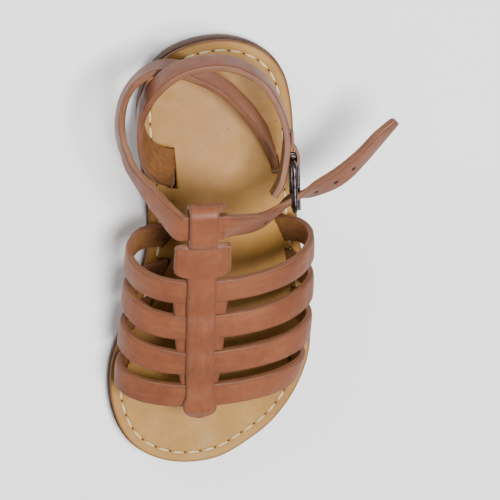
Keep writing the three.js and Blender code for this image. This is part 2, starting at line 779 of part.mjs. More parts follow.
const ankleStrapSolid = band(anklePath, { ...strapOffsets, overrun: 0 })
  .subtract(wasm.Manifold.union(punchedHoles()))
  .subtract(prongShape(slotClearance))
  .subtract(below);

// The insole's slots follow the straps that pass through them
const slotCutters = [
  ...vampPaths.map((path) => band(path, { ...vampOffsets, grow: slotClearance, overrun: footDepth + 1 })),
  band(heelPath, { ...strapOffsets, grow: slotClearance, overrun: footDepth + 1 }),
  band(anklePath, { ...strapOffsets, grow: slotClearance, overrun: footDepth + 1 }),
];

const outsoleSolid = plate({
  outline: soleOutline,
  from: 0,
  to: 1,
  widen: 1,
  top: outsoleTop,
  bottom: outsoleBottom,
  rows: 48,
  columns: 4,
});

const insoleSolid = insetPlate(insoleInset, {
  top: insoleTop,
  bottom: insoleBottom,
  rows: 48,
  columns: 4,
}).subtract(wasm.Manifold.union(slotCutters));

const padSolid = plate({
  outline: padOutline,
  from: padStart,
  to: padEnd,
  widen: 1,
  top: (at) => outsoleBottom(at) - layerGap,
  bottom: (at) => outsoleBottom(at) - layerGap - padThickness,
  rows: 30,
  columns: 4,
});

// The heel lift ends at a curved breast line
function heelLift() {
  const shape = new THREE.Shape();
  const back = lengthwise(-0.1);
  shape.moveTo(-ballWidth, back);
  shape.lineTo(-ballWidth, lengthwise(breastMedial));
  shape.bezierCurveTo(
    -ballWidth * 0.25,
    lengthwise(breastMedial + 0.012),
    -ballWidth * 0.12,
    lengthwise(breastLateral + 0.01),
    ballWidth * 0.1,
    lengthwise(breastLateral + 0.005),
  );
  shape.lineTo(ballWidth, lengthwise(breastLateral - 0.01));
  shape.lineTo(ballWidth, back);
  const depth = 3 * heelLiftHeight;
  const block = new THREE.ExtrudeGeometry(shape, { depth, bevelEnabled: false, curveSegments: 12 });
  block.translate(0, 0, -heelLiftHeight);
  const whole = insetPlate(heelLiftInset, {
    top: (at) => outsoleBottom(at) - layerGap,
    bottom: () => 0,
    rows: 40,
    columns: 4,
  });
  return whole.intersect(fromGeometry(block));
}

function fromGeometry(geometry) {
  const bare = geometry.clone();
  bare.deleteAttribute('normal');
  bare.deleteAttribute('uv');
  const merged = mergeVertices(bare);
  const position = merged.getAttribute('position');
  return new wasm.Manifold(new wasm.Mesh({
    numProp: 3,
    vertProperties: position.array,
    triVerts: new Uint32Array(merged.index.array),
  }));
}

function toGeometry(solid) {
  const mesh = solid.getMesh();
  const geometry = new THREE.BufferGeometry();
  geometry.setAttribute('position', new THREE.Float32BufferAttribute(mesh.vertProperties, 3));
  geometry.setIndex(Array.from(mesh.triVerts));
  return geometry;
}

const leatherTan = { color: 0xa06b50, roughness: 0.55, metalness: 0 };
const leatherNatural = { color: 0xbea06e, roughness: 0.6, metalness: 0 };
const leatherSole = { color: 0xa89888, roughness: 0.85, metalness: 0 };
const rubberOlive = { color: 0xa88a5c, roughness: 0.8, metalness: 0 };
const rubberBrown = { color: 0x7a5838, roughness: 0.8, metalness: 0 };
const metalDark = { color: 0x3a3030, roughness: 0.35, metalness: 1 };

const sandal = new THREE.Group();

function addPiece(name, solid, finish) {
  const piece = new THREE.Mesh(toGeometry(solid), new THREE.MeshStandardMaterial(finish));
  piece.name = name;
  piece.position.y = -lengthwise(heelRest);
  sandal.add(piece);
}

addPiece('outsole', outsoleSolid, leatherSole);
addPiece('heel_lift', heelLift(), rubberOlive);
addPiece('forefoot_pad', padSolid, rubberBrown);
addPiece('insole', insoleSolid, leatherNatural);
addPiece('upper', upperSolid, leatherTan);
addPiece('ankle_strap', ankleStrapSolid, leatherTan);
addPiece('heel_strap', heelStrapSolid, leatherTan);
addPiece('buckle_frame', frameSolid, metalDark);
addPiece('buckle_prong', prongSolid, metalDark);

export default sandal;
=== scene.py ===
import math
import bmesh
import bpy
from mathutils import Matrix, Vector, noise


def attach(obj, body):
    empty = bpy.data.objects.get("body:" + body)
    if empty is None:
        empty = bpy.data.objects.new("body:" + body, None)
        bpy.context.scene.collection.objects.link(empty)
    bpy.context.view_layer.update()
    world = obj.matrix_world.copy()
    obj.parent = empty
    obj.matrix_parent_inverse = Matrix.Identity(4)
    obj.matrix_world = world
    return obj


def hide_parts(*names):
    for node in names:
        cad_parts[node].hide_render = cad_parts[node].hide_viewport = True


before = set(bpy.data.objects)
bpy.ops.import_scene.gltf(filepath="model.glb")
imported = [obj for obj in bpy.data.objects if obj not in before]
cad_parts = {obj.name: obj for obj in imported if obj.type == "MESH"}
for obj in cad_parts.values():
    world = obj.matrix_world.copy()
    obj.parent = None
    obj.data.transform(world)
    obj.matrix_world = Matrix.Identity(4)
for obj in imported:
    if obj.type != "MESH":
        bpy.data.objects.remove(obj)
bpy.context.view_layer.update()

# A child's left gladiator sandal: tan straps, natural insole, layered sole and a dark buckle.
# Lengths are in millimetres until a mesh is made; shares run from the heel (0) to the toe (1).
MM = 0.001

# Sole
SOLE_LENGTH = 143.0
BALL_WIDTH = 68.0
HEEL_REST = 0.16
OUTSOLE = 3.0
INSOLE = 2.2
INSOLE_INSET = 0.5
LIFT_HEIGHT, LIFT_ROUND = 5.4, 0.45
PAD_HEIGHT, PAD_ROUND = 1.6, 0.4
TOE_SPRING = 3.0
LAYER_GAP = 0.3
WAIST_START, TREAD_START, TREAD_END = 0.35, 0.6, 0.8

# Straps: thickness, widths, how far their slots stand inside the sole's edge, height of the instep
STRAP = 2.1
VAMP_WIDTH = 9.0
FREE_WIDTH = 9.2
SLOT_INSET = 5.2
INSTEP = 46.0

# T strap: its strip rises over each vamp strap and dips between them
SPINE_WIDTH = 9.2
SPINE_UNDERLAP = 1.3
SPINE_COVER = 1.6
SPINE_DIP = 0.9
STRIP_LOW = 0.5
TIP_FLARE, TIP_ROUND, TIP_SINK, TIP_SLOPE = 1.2, 5.5, 1.1, 1.15

# T plate: lower and upper face above the last, the share where it ends and the rounding there
PLATE_LOW, PLATE_TOP = 0.4, 2.3
PLATE_END, PLATE_CORNER = 0.463, 2.6
SHOULDER_START, SHOULDER_ROUND = 2.0, 1.6

# Loop round the ankle strap, whose end is folded back, spread and set a little to the outer side
LOOP_AT = 0.351
LOOP_REACH = 11.0
LOOP_THICK = 1.9
LOOP_GAP = 0.35
LOOP_RUN_OUT = 1.2
LOOP_STEPS = 160
LOOP_FOLD_WIDTH, LOOP_FOLD_END, LOOP_FOLD_ASIDE = 12.6, 8.2, 1.1

# Buckle, and the two narrow folds of the heel strap that hold its bar
FRAME_LENGTH, FRAME_HEIGHT, FRAME_CORNER = 17.6, 15.0, 3.4
WIRE, PRONG = 0.85, 0.6
PRONG_CURL = 70
BUCKLE_GAP = 0.3
BAR_FOLD, BAR_FOLD_WIDTH, BAR_FOLD_REACH = 1.0, 2.9, 9.0

# Punched holes of the ankle strap: two before the prong's wider one and three after it
HOLE_RADIUS, HOLE_PITCH = 0.8, 7.0
FIRST_HOLE, LAST_HOLE = -2, 3
PRONG_HOLE = 1.5
TAIL_ROUND = 0.9


def table(names, *rows):
    return [dict(zip(names.split(), row)) for row in rows]


# Edge of the sole at shares of its length, in ball widths from the middle line
OUTLINE = table(
    "at medial lateral",
    (0.0, 0.055, 0.055), (0.03, -0.19, 0.265), (0.08, -0.29, 0.355), (0.15, -0.34, 0.395),
    (0.25, -0.335, 0.41), (0.35, -0.31, 0.418), (0.45, -0.3, 0.435), (0.52, -0.318, 0.462),
    (0.6, -0.368, 0.49), (0.68, -0.43, 0.504), (0.76, -0.484, 0.492), (0.84, -0.488, 0.425),
    (0.91, -0.447, 0.312), (0.96, -0.367, 0.17), (0.995, -0.21, 0.005), (1.0, -0.11, -0.11))

# The foot form under the straps: ridge and sides in ball widths, heights in insteps,
# tucks in insets
LAST = table(
    "at ridge height medial lateral waist medial_tuck lateral_tuck",
    (0.3, -0.12, 1.04, -0.41, 0.4, 0.45, 1.5, 1.2),
    (0.36, -0.117, 0.95, -0.408, 0.415, 0.45, 1.5, 1.2),
    (0.44, -0.107, 0.83, -0.402, 0.435, 0.45, 1.5, 1.2),
    (0.53, -0.101, 0.71, -0.407, 0.443, 0.45, 1.4, 1.1),
    (0.62, -0.096, 0.61, -0.418, 0.445, 0.43, 1.2, 1.15),
    (0.71, -0.091, 0.51, -0.434, 0.43, 0.4, 1.1, 1.3),
    (0.8, -0.083, 0.395, -0.44, 0.378, 0.36, 1.15, 1.3),
    (0.88, -0.076, 0.28, -0.415, 0.33, 0.34, 1.1, 1.2))
LOW_SHARE = 0.35

# Course of each vamp strap from the inner slot (-1) over the ridge (0) to the outer slot (1)
VAMP = [
    table("round at turn", (-1, 0.456, 45), (-0.82, 0.45, 22), (-0.62, 0.485, 0), (-0.3, 0.52, 0),
          (0, 0.527, 0), (0.3, 0.505, 0), (0.62, 0.455, 0), (0.82, 0.44, -8), (1, 0.447, -16)),
    table("round at turn", (-1, 0.545, 12), (-0.62, 0.572, 0), (-0.3, 0.61, 0), (0, 0.62, 0),
          (0.3, 0.6, 0), (0.62, 0.555, 0), (1, 0.53, 0)),
    table("round at turn", (-1, 0.635, 12), (-0.62, 0.665, 0), (-0.3, 0.7, 0), (0, 0.712, 0),
          (0.3, 0.695, 0), (0.62, 0.657, 0), (1, 0.625, 0)),
    table("round at turn", (-1, 0.75, 6), (-0.62, 0.765, 0), (-0.3, 0.79, 0), (0, 0.797, 0),
          (0.3, 0.785, 0), (0.62, 0.755, 0), (1, 0.735, -8)),
]
CROSSINGS = (0.527, 0.62, 0.712, 0.797)

# Width of the T plate and of the layer below the strip, in strap widths
SPINE = table("at wide", (0.398, 1.93), (0.482, 1.96), (0.498, 1.74), (0.522, 1.74), (0.55, 1.9),
              (0.58, 1.86), (0.665, 1.7), (0.755, 1.4), (0.82, 1.2), (0.853, 1.2))

# Courses of the two free straps: place, the way the grain side faces in degrees, and width
FREE = "across at up facing lean wide"
ANKLE_BEFORE = table(
    FREE,
    (0.318, 0.283, 0.17, 30, 24, 1.1), (0.295, 0.254, 0.245, 32, 24, 1.08),
    (0.238, 0.205, 0.35, 36, 24, 1.02), (0.156, 0.15, 0.455, 44, 24, 1),
    (0.03, 0.092, 0.53, 62, 24, 1), (-0.127, 0.054, 0.555, 92, 20, 1),
    (-0.282, 0.045, 0.57, 122, 12, 1), (-0.417, 0.085, 0.68, 150, 2, 1),
    (-0.472, 0.15, 0.86, 178, 4, 1), (-0.445, 0.225, 0.96, 205, 12, 1),
    (-0.375, 0.278, 1.04, 224, 27, 1), (-0.312, 0.314, 1.1, 246, 46, 1))
ANKLE_AFTER = table(
    FREE,
    (0.17, 0.365, 1.02, 286, 44, 1), (0.255, 0.35, 0.935, 290, 28, 1),
    (0.345, 0.323, 0.875, 292, 9, 1), (0.44, 0.31, 0.84, 294, 34, 1),
    (0.555, 0.284, 0.83, 303, 45, 0.98), (0.655, 0.24, 0.855, 313, 40, 0.92),
    (0.745, 0.19, 0.885, 317, 38, 0.8), (0.815, 0.155, 0.91, 319, 38, 0.46))
BUCKLE_ROW = 2
CROSS_SHARE, CROSS_OUT, CROSS_UP = 0.776, 0.45, -0.09
HEEL = table(
    FREE,
    (0.243, 0.318, 0.87, -16, 3, 0.9), (0.278, 0.287, 0.87, -10, 4, 1),
    (0.3, 0.235, 0.87, 0, 4, 1), (0.305, 0.18, 0.87, 14, 5, 1),
    (0.272, 0.118, 0.86, 36, 8, 1), (0.19, 0.058, 0.86, 60, 11, 1),
    (0.07, 0.024, 0.86, 84, 13, 1), (-0.07, 0.018, 0.855, 104, 13, 1),
    (-0.205, 0.036, 0.835, 126, 13, 1), (-0.31, 0.08, 0.78, 148, 12, 1),
    (-0.358, 0.142, 0.645, 166, 4, 1), (-0.35, 0.204, 0.535, 178, -10, 1.05),
    (-0.31, 0.252, 0.43, 184, -24, 1.15), (-0.245, 0.281, 0.325, 184, -34, 1.28),
    (-0.18, 0.296, 0.22, 182, -38, 1.35))
BAR_ROW = 2


# Reading of tables and of the sole's levels
def column(rows, key, name, value):
    last = len(rows) - 1
    i = 0
    while i < last - 1 and value > rows[i + 1][key]:
        i += 1

    def slope(k):
        low, high = rows[max(k - 1, 0)], rows[min(k + 1, last)]
        return (high[name] - low[name]) / (high[key] - low[key])

    span = rows[i + 1][key] - rows[i][key]
    t = min(max((value - rows[i][key]) / span, 0), 1)
    rise = 3 * t * t - 2 * t ** 3
    start = rows[i][name] * (1 - rise) + rows[i + 1][name] * rise
    return start + (slope(i) * t * (1 - t) ** 2 - slope(i + 1) * t * t * (1 - t)) * span


def smoothstep(value, low, high):
    t = min(max((value - low) / (high - low), 0), 1)
    return t * t * (3 - 2 * t)


def outsole_bottom(at):
    heel_top = LIFT_HEIGHT + LAYER_GAP
    pad_top = PAD_HEIGHT + LAYER_GAP
    fall = smoothstep(at, WAIST_START, TREAD_START)
    lift = max(at - TREAD_END, 0) / (1 - TREAD_END)
    return heel_top + (pad_top - heel_top) * fall + TOE_SPRING * lift ** 1.6


def outsole_top(at):
    return outsole_bottom(at) + OUTSOLE


def insole_bottom(at):
    return outsole_top(at) + LAYER_GAP


def insole_top(at):
    return insole_bottom(at) + INSOLE


def lengthwise(at):
    return SOLE_LENGTH * (0.5 - at)


def share_of(y):
    return 0.5 - y / SOLE_LENGTH


TURNED = [dict(row, turn=math.acos(1 - 2 * row["at"])) for row in OUTLINE]


def outline(share):
    turn = math.acos(1 - 2 * min(max(share, 0), 1))
    return {side: BALL_WIDTH * column(TURNED, "turn", side, turn) for side in ("medial", "lateral")}


# The last and the straps' paths
def last_point(at, side, climb):
    def read(name):
        return column(LAST, "at", name, at)
    sign = -1 if side == "medial" else 1
    height = INSTEP * read("height")
    waist = height * read("waist")
    bulge = BALL_WIDTH * read(side)
    base = outline(at)[side] - sign * SLOT_INSET * read(side + "_tuck")
    floor = insole_top(at)
    if climb < LOW_SHARE:
        rise = climb / LOW_SHARE
        x = base + (bulge - base) * math.sin(rise * math.pi / 2)
        return Vector((x, lengthwise(at), floor + waist * rise))
    turn = (climb - LOW_SHARE) / (1 - LOW_SHARE) * math.pi / 2
    ridge = BALL_WIDTH * read("ridge")
    x = ridge + (bulge - ridge) * math.cos(turn)
    return Vector((x, lengthwise(at), floor + waist + (height - waist) * math.sin(turn)))


def last_place(at, around):
    return last_point(at, "medial" if around < 0 else "lateral", 1 - abs(around))


def last_face(at, around):
    step = 0.01
    inside = min(max(around, -1 + step), 1 - step)
    along = last_place(at + step, around) - last_place(at - step, around)
    across = last_place(at, inside + step) - last_place(at, inside - step)
    return -across.cross(along).normalized()


def station(point, face, width, low, high):
    return {"point": point, "face": face, "width": width, "low": low, "high": high}


def vamp_path(rows, steps=150):
    path = []
    for i in range(steps + 1):
        around = -1 + 2 * i / steps
        at = column(rows, "round", "at", around)
        turn = column(rows, "round", "turn", around)
        face = Matrix.Rotation(math.radians(-turn), 3, "Z") @ last_face(at, around)
        path.append(station(last_place(at, around), face, VAMP_WIDTH, 0, STRAP))
    return path


# Width of a strap end rounded to a radius, down to a narrowest tip
def rounded_width(width, distance, radius, least=2.4):
    if distance >= radius:
        return width
    reach = radius - max(distance, 0)
    return max(width - 2 * (radius - math.sqrt(radius ** 2 - reach ** 2)), least)


# Shares that stand closer together near both ends
def ridge_shares(start, end, steps):
    span = (end - start) / 2
    return [start + span * (1 - math.cos(math.pi * i / steps)) for i in range(steps + 1)]


# The wide layer below the woven strip, hidden under the first vamp strap at its upper end
def spine_layer_path():
    hidden_start, hidden_end = CROSSINGS[0] - 0.018, CROSSINGS[-1] + 0.012
    path = []
    for at in reversed(ridge_shares(hidden_start, hidden_end, 120)):
        width = SPINE_WIDTH * column(SPINE, "at", "wide", at)
        face = last_face(at, 0)
        point = last_place(at, 0) + face * (STRAP / 2 - SPINE_UNDERLAP)
        path.append(station(point, face, width, -STRAP / 2, STRAP / 2))
    return path


# How much of a shoulder's width is left at a distance into its rounded corner
def corner_share(distance, radius):
    return math.sqrt(max(1 - (max(distance, 0) / radius) ** 2, 0))


# The T plate and the strip woven over the vamp straps: one leather, from the tip up to the loop
def plate_station(at):
    last = SPINE[-1]["at"]
    first, final = CROSSINGS[0], CROSSINGS[-1]
    pitch = CROSSINGS[1] - first
    wave = math.cos(2 * math.pi * (at - first) / pitch)
    crest = STRAP + SPINE_COVER
    if at > first:
        crest -= SPINE_DIP * (0.5 - 0.5 * wave) * (1 - smoothstep(at, final, final + pitch * 0.3))

    flared = SPINE_WIDTH * (1 + (TIP_FLARE - 1) * smoothstep(at, final - 0.01, last - 0.035))
    from_tip = (last - at) * SOLE_LENGTH * TIP_SLOPE
    strip = min(rounded_width(SPINE_WIDTH * TIP_FLARE, from_tip, TIP_ROUND), flared)
    corner = corner_share((at - PLATE_END) * SOLE_LENGTH, PLATE_CORNER)
    width = strip + (SPINE_WIDTH * column(SPINE, "at", "wide", at) - strip) * corner

    high = PLATE_TOP + (crest - PLATE_TOP) * smoothstep(at, PLATE_END, first)
    high -= TIP_SINK * smoothstep(at, final + pitch * 0.3, last)
    low = PLATE_LOW - (PLATE_LOW + STRIP_LOW) * smoothstep(at, PLATE_END + 0.03, first)
    low += (high - STRAP - low) * smoothstep(at, final, final + 0.03)
    face = last_face(at, 0)
    middle = (low + high) / 2
    return station(last_place(at, 0) + face * middle, face, width, low - middle, high - middle)


def plate_path():
    corner_end = PLATE_END + (PLATE_CORNER + 0.1) / SOLE_LENGTH
    shares = ridge_shares(corner_end, SPINE[-1]["at"], 170)[1:]
    shares += [PLATE_END + (corner_end - PLATE_END) * i / 14 for i in range(15)]
    shares += [SPINE[0]["at"] + (PLATE_END - SPINE[0]["at"]) * i / 24 for i in range(24)]
    joint = loop_share(-LOOP_REACH - 0.3)
    return [plate_station(at) for at in sorted(shares, reverse=True) if at > joint]


# Points at even distances along a line
def spaced(points, steps):
    lengths = [0.0]
    for before, after in zip(points, points[1:]):
        lengths.append(lengths[-1] + (after - before).length)
    result, k = [], 0
    for i in range(steps + 1):
        target = lengths[-1] * i / steps
        while k < len(points) - 2 and lengths[k + 1] < target:
            k += 1
        share = (target - lengths[k]) / max(lengths[k + 1] - lengths[k], 1e-9)
        result.append(points[k].lerp(points[k + 1], share))
    return result


def cubic(a, b, c, d, steps=24):
    return [a * (1 - t) ** 3 + b * 3 * t * (1 - t) ** 2 + c * 3 * t * t * (1 - t) + d * t ** 3
            for t in (i / steps for i in range(steps + 1))]


def arc(centre, radius, start, end, steps=24):
    turns = [start + (end - start) * i / steps for i in range(steps + 1)]
    return [centre + Vector((radius * math.cos(t), radius * math.sin(t))) for t in turns]


# A strap bent in the plane of two directions, from a flat line of its middle
def folded_path(flat, origin, forward, out, width, low, high, steps):
    line = spaced(flat, steps)
    path = []
    for i, p in enumerate(line):
        before, after = line[max(i - 1, 0)], line[min(i + 1, steps)]
        normal = Vector((before.y - after.y, after.x - before.x)).normalized()
        face = forward * normal.x + out * normal.y
        path.append(station(origin + forward * p.x + out * p.y, face, width, low, high))
    return path


LOOP_INNER = -SPINE_UNDERLAP + LOOP_THICK + LOOP_GAP
LOOP_FACE = last_face(LOOP_AT, 0)
LOOP_BACK = (last_place(LOOP_AT - 0.01, 0) - last_place(LOOP_AT + 0.01, 0)).normalized()
LOOP_CENTRE = last_place(LOOP_AT, 0) + LOOP_FACE * (LOOP_INNER + STRAP / 2)
LOOP_PACE = (last_place(LOOP_AT - 0.01, 0) - last_place(LOOP_AT + 0.01, 0)).length / 0.02


def loop_share(distance):
    return LOOP_AT - distance / LOOP_PACE


# From the shoulders of the wide layer up over the ankle strap, round its edge and back below it
def spine_loop_path():
    half = FREE_WIDTH / 2 + LOOP_GAP
    rise = (STRAP + LOOP_THICK) / 2 + LOOP_GAP
    sink = LOOP_INNER + STRAP / 2 - (PLATE_LOW + PLATE_TOP) / 2
    foot, head = Vector((-half - 4.4, -sink)), Vector((-half + 1.2, rise))
    flat = [Vector((-LOOP_REACH, -sink))]
    flat += cubic(foot, foot + Vector((2.5, 0)), head - Vector((3.3, 0)), head)
    flat += arc(Vector((half, 0)), rise, math.pi / 2, -math.pi / 2)
    flat += [Vector((-half + 1, -rise)), Vector((-half - 3.2, -rise - 0.25))]
    length = sum((b - a).length for a, b in zip(flat, flat[1:]))
    shoulder = SPINE_WIDTH * (SPINE[0]["wide"] - 1)

    def width_at(share):
        widened = shoulder * corner_share(share * length - SHOULDER_START, SHOULDER_ROUND)
        spread = (LOOP_FOLD_WIDTH - SPINE_WIDTH) * smoothstep(share, 0.5, 0.64)
        narrowed = (LOOP_FOLD_WIDTH - LOOP_FOLD_END) * smoothstep(share, 0.7, 0.78)
        return SPINE_WIDTH + widened + spread - narrowed

    line = spaced(flat, LOOP_STEPS)
    path = []
    for i, p in enumerate(line):
        before, after = line[max(i - 1, 0)], line[min(i + 1, LOOP_STEPS)]
        normal = Vector((before.y - after.y, after.x - before.x)).normalized()
        share = i / LOOP_STEPS
        eased = smoothstep(p.x, -LOOP_REACH, -half) if share < 0.5 else 1
        at = loop_share(p.x)
        face = last_face(at, 0).lerp(LOOP_FACE, eased).normalized()
        point = last_place(at, 0).lerp(last_place(LOOP_AT, 0) + LOOP_BACK * p.x, eased)
        point += face * (LOOP_INNER + STRAP / 2 + p.y)
        point.x += LOOP_FOLD_ASIDE * smoothstep(share, 0.5, 0.66)
        face = LOOP_BACK * normal.x + face * normal.y
        path.append(station(point, face, width_at(share), -LOOP_THICK / 2, LOOP_THICK / 2))
    return path


# One stretch of a smooth line through places that are unevenly far apart, and its direction
def centripetal(places, i, t):
    last = len(places) - 1
    p1, p2 = places[i], places[i + 1]
    p0 = places[i - 1] if i > 0 else p1 * 2 - p2
    p3 = places[i + 2] if i + 2 <= last else p2 * 2 - p1
    d0, d1, d2 = ((b - a).length ** 0.5 for a, b in ((p0, p1), (p1, p2), (p2, p3)))
    m1 = ((p1 - p0) / d0 - (p2 - p0) / (d0 + d1) + (p2 - p1) / d1) * d1
    m2 = ((p2 - p1) / d1 - (p3 - p1) / (d1 + d2) + (p3 - p2) / d2) * d1
    c2 = (p2 - p1) * 3 - m1 * 2 - m2
    c3 = (p1 - p2) * 2 + m1 + m2
    return p1 + m1 * t + c2 * t * t + c3 * t ** 3, m1 + c2 * 2 * t + c3 * 3 * t * t


def row_place(row):
    return Vector((BALL_WIDTH * row["across"], lengthwise(row["at"]), INSTEP * row["up"]))


def free_path(rows, steps):
    places = [row.get("point") or row_place(row) for row in rows]
    keyed = [dict(row, step=i) for i, row in enumerate(rows)]
    path = []
    for n in range(steps * (len(rows) - 1) + 1):
        i = min(n // steps, len(rows) - 2)
        step = n / steps
        point, along = centripetal(places, i, step - i)
        facing = math.radians(column(keyed, "step", "facing", step))
        lean = math.radians(column(keyed, "step", "lean", step))
        level = math.cos(lean)
        face = Vector((level * math.cos(facing), level * math.sin(facing), math.sin(lean)))
        width = FREE_WIDTH * column(keyed, "step", "wide", step)
        here = station(point, face, width, -STRAP / 2, STRAP / 2)
        path.append(dict(here, along=along.normalized()))
    return path


# The ankle strap runs straight through the loop
def loop_row(k):
    across = math.copysign(SPINE_WIDTH / 2, k) + k * LOOP_RUN_OUT if k else 0
    lean = math.degrees(math.asin(LOOP_FACE.z))
    return {"point": LOOP_CENTRE + Vector((across, 0, 0)), "facing": 270, "lean": lean, "wide": 1}


LOOP_ROWS = [loop_row(k) for k in (-2, -1, 0, 1, 2)]
ROW_STEPS = 14
HEEL_PATH = free_path(HEEL, ROW_STEPS)

# The buckle hangs on the heel strap; its ring turns a little towards the toe
BAR = HEEL_PATH[BAR_ROW * ROW_STEPS]
BAR_FORWARD = -BAR["along"]
BAR_UP = BAR_FORWARD.cross(BAR["face"]).normalized()
BAR_OUT = BAR_UP.cross(BAR_FORWARD).normalized()
BAR_DISTANCE = STRAP / 2 + BUCKLE_GAP + WIRE
BAR_CENTRE = BAR["point"] + BAR_OUT * BAR_DISTANCE
FRAME_YAW = math.radians(2)
FRAME_FORWARD = Vector((math.sin(FRAME_YAW), -math.cos(FRAME_YAW), 0))
FRAME_FORWARD = (FRAME_FORWARD - BAR_UP * BAR_UP.dot(FRAME_FORWARD)).normalized()
FRAME_OUT = BAR_UP.cross(FRAME_FORWARD).normalized()


def frame_place(forward, out, up):
    return BAR_CENTRE + FRAME_FORWARD * forward + FRAME_OUT * out + BAR_UP * up


# The ankle strap is led through the buckle, and its end follows
FRAME_REACH = FRAME_LENGTH - 2 * WIRE
BUCKLE_PLACE = frame_place(FRAME_REACH * CROSS_SHARE, CROSS_OUT, CROSS_UP)
BUCKLE_SHIFT = BUCKLE_PLACE - row_place(ANKLE_AFTER[BUCKLE_ROW])
BUCKLE_ROWS = [dict(row, point=row_place(row) + BUCKLE_SHIFT * min((i + 1) / (BUCKLE_ROW + 1), 1))
               for i, row in enumerate(ANKLE_AFTER)]
ANKLE_PATH = free_path(ANKLE_BEFORE + LOOP_ROWS + BUCKLE_ROWS, ROW_STEPS)


# Meshes
def placed(point):
    return Vector((point.x, point.y - lengthwise(HEEL_REST), point.z)) * MM


def finished(name, verts, faces, zones, finishes, attributes, sharp, merge=0.0):
    mesh = bpy.data.meshes.new(name)
    mesh.from_pydata([placed(v) for v in verts], [], faces)
    for finish in finishes:
        mesh.materials.append(finish)
    for polygon, zone in zip(mesh.polygons, zones):
        polygon.material_index = zone
    for key, (kind, values) in attributes.items():
        layer = mesh.attributes.new(key, kind, "POINT")
        field = "vector" if kind == "FLOAT_VECTOR" else "value"
        flat = [c for value in values for c in value] if kind == "FLOAT_VECTOR" else values
        layer.data.foreach_set(field, flat)
    solid = bmesh.new()
    solid.from_mesh(mesh)
    if merge > 0:
        bmesh.ops.remove_doubles(solid, verts=solid.verts, dist=merge * MM)
    bmesh.ops.recalc_face_normals(solid, faces=solid.faces)
    if solid.calc_volume(signed=True) < 0:
        bmesh.ops.reverse_faces(solid, faces=solid.faces)
    solid.to_mesh(mesh)
    solid.free()
    mesh.polygons.foreach_set("use_smooth", [True] * len(mesh.polygons))
    mesh.set_sharp_from_angle(angle=math.radians(sharp))
    piece = bpy.data.objects.new(name, mesh)
    bpy.context.scene.collection.objects.link(piece)
    return piece


def hold(piece, slot, *nodes):
    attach(piece, "root")
    if nodes:
        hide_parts(*nodes)


# The two ends of a path carried straight on
def lengthened(path, before, after):
    steps = [dict(step) for step in path]
    if before:
        back = (steps[0]["point"] - steps[1]["point"]).normalized() * before
        steps.insert(0, dict(steps[0], point=steps[0]["point"] + back))
    if after:
        on = (steps[-1]["point"] - steps[-2]["point"]).normalized() * after
        steps.append(dict(steps[-1], point=steps[-1]["point"] + on))
    return steps


# Faces between rings of points; the last ring may be joined to the first
def quads(rows, size, joined_rows=False):
    faces = []
    for i in range(rows if joined_rows else rows - 1):
        here, there = i * size, (i + 1) % rows * size
        for k in range(size):
            after = (k + 1) % size
            faces.append((here + k, here + after, there + after, there + k))
    return faces


def circle(radius, steps):
    turns = (2 * math.pi * k / steps for k in range(steps))
    return [(radius * math.cos(t), radius * math.sin(t)) for t in turns]


TOP_STEPS, CORNER_STEPS, BASE_STEPS = 12, 4, 8
SECTION_SIZE = TOP_STEPS + BASE_STEPS + 4 * CORNER_STEPS + 2
BASE_START = TOP_STEPS + 2 * CORNER_STEPS + 1
BASE_END = BASE_START + BASE_STEPS


# Section of a strap: crowned grain side, rounded burnished edges, flat flesh side
def strap_section(half, low, high, crown, top_radius, base_radius):
    top_radius = min(top_radius, half * 0.8, (high - low) * 0.45)
    base_radius = min(base_radius, half * 0.8, (high - low) * 0.45)
    flat, base = half - top_radius, half - base_radius
    quarter = math.pi / 2
    points = []

    def corner(x, y, radius, start, steps):
        for i in steps:
            turn = start - quarter * i / CORNER_STEPS
            points.append((x + radius * math.cos(turn), y + radius * math.sin(turn)))

    for i in range(TOP_STEPS + 1):
        share = -1 + 2 * i / TOP_STEPS
        points.append((share * flat, high + crown * (1 - share * share)))
    corner(flat, high - top_radius, top_radius, quarter, range(1, CORNER_STEPS + 1))
    corner(base, low + base_radius, base_radius, 0, range(CORNER_STEPS + 1))
    points += [(base * (1 - 2 * i / BASE_STEPS), low) for i in range(1, BASE_STEPS + 1)]
    corner(-base, low + base_radius, base_radius, -quarter, range(1, CORNER_STEPS + 1))
    corner(-flat, high - top_radius, top_radius, 2 * quarter, range(CORNER_STEPS))
    return points


# Which finish a strip of the section has: 0 grain side, 1 cut edge, 2 flesh side
def zone_of(k):
    if k < TOP_STEPS + 1 or k >= SECTION_SIZE - 2:
        return 0
    if BASE_START - 1 <= k < BASE_END + 1:
        return 2
    return 1


# Unevenness of cut leather: slow rise, wandering edges and uneven surface, each over its length
SWAY_LENGTH, EDGE_LENGTH, SKEW_LENGTH = 13, 7, 3.2
EDGE_DRIFT, SKEW_DEPTH = 0.07, 0.05


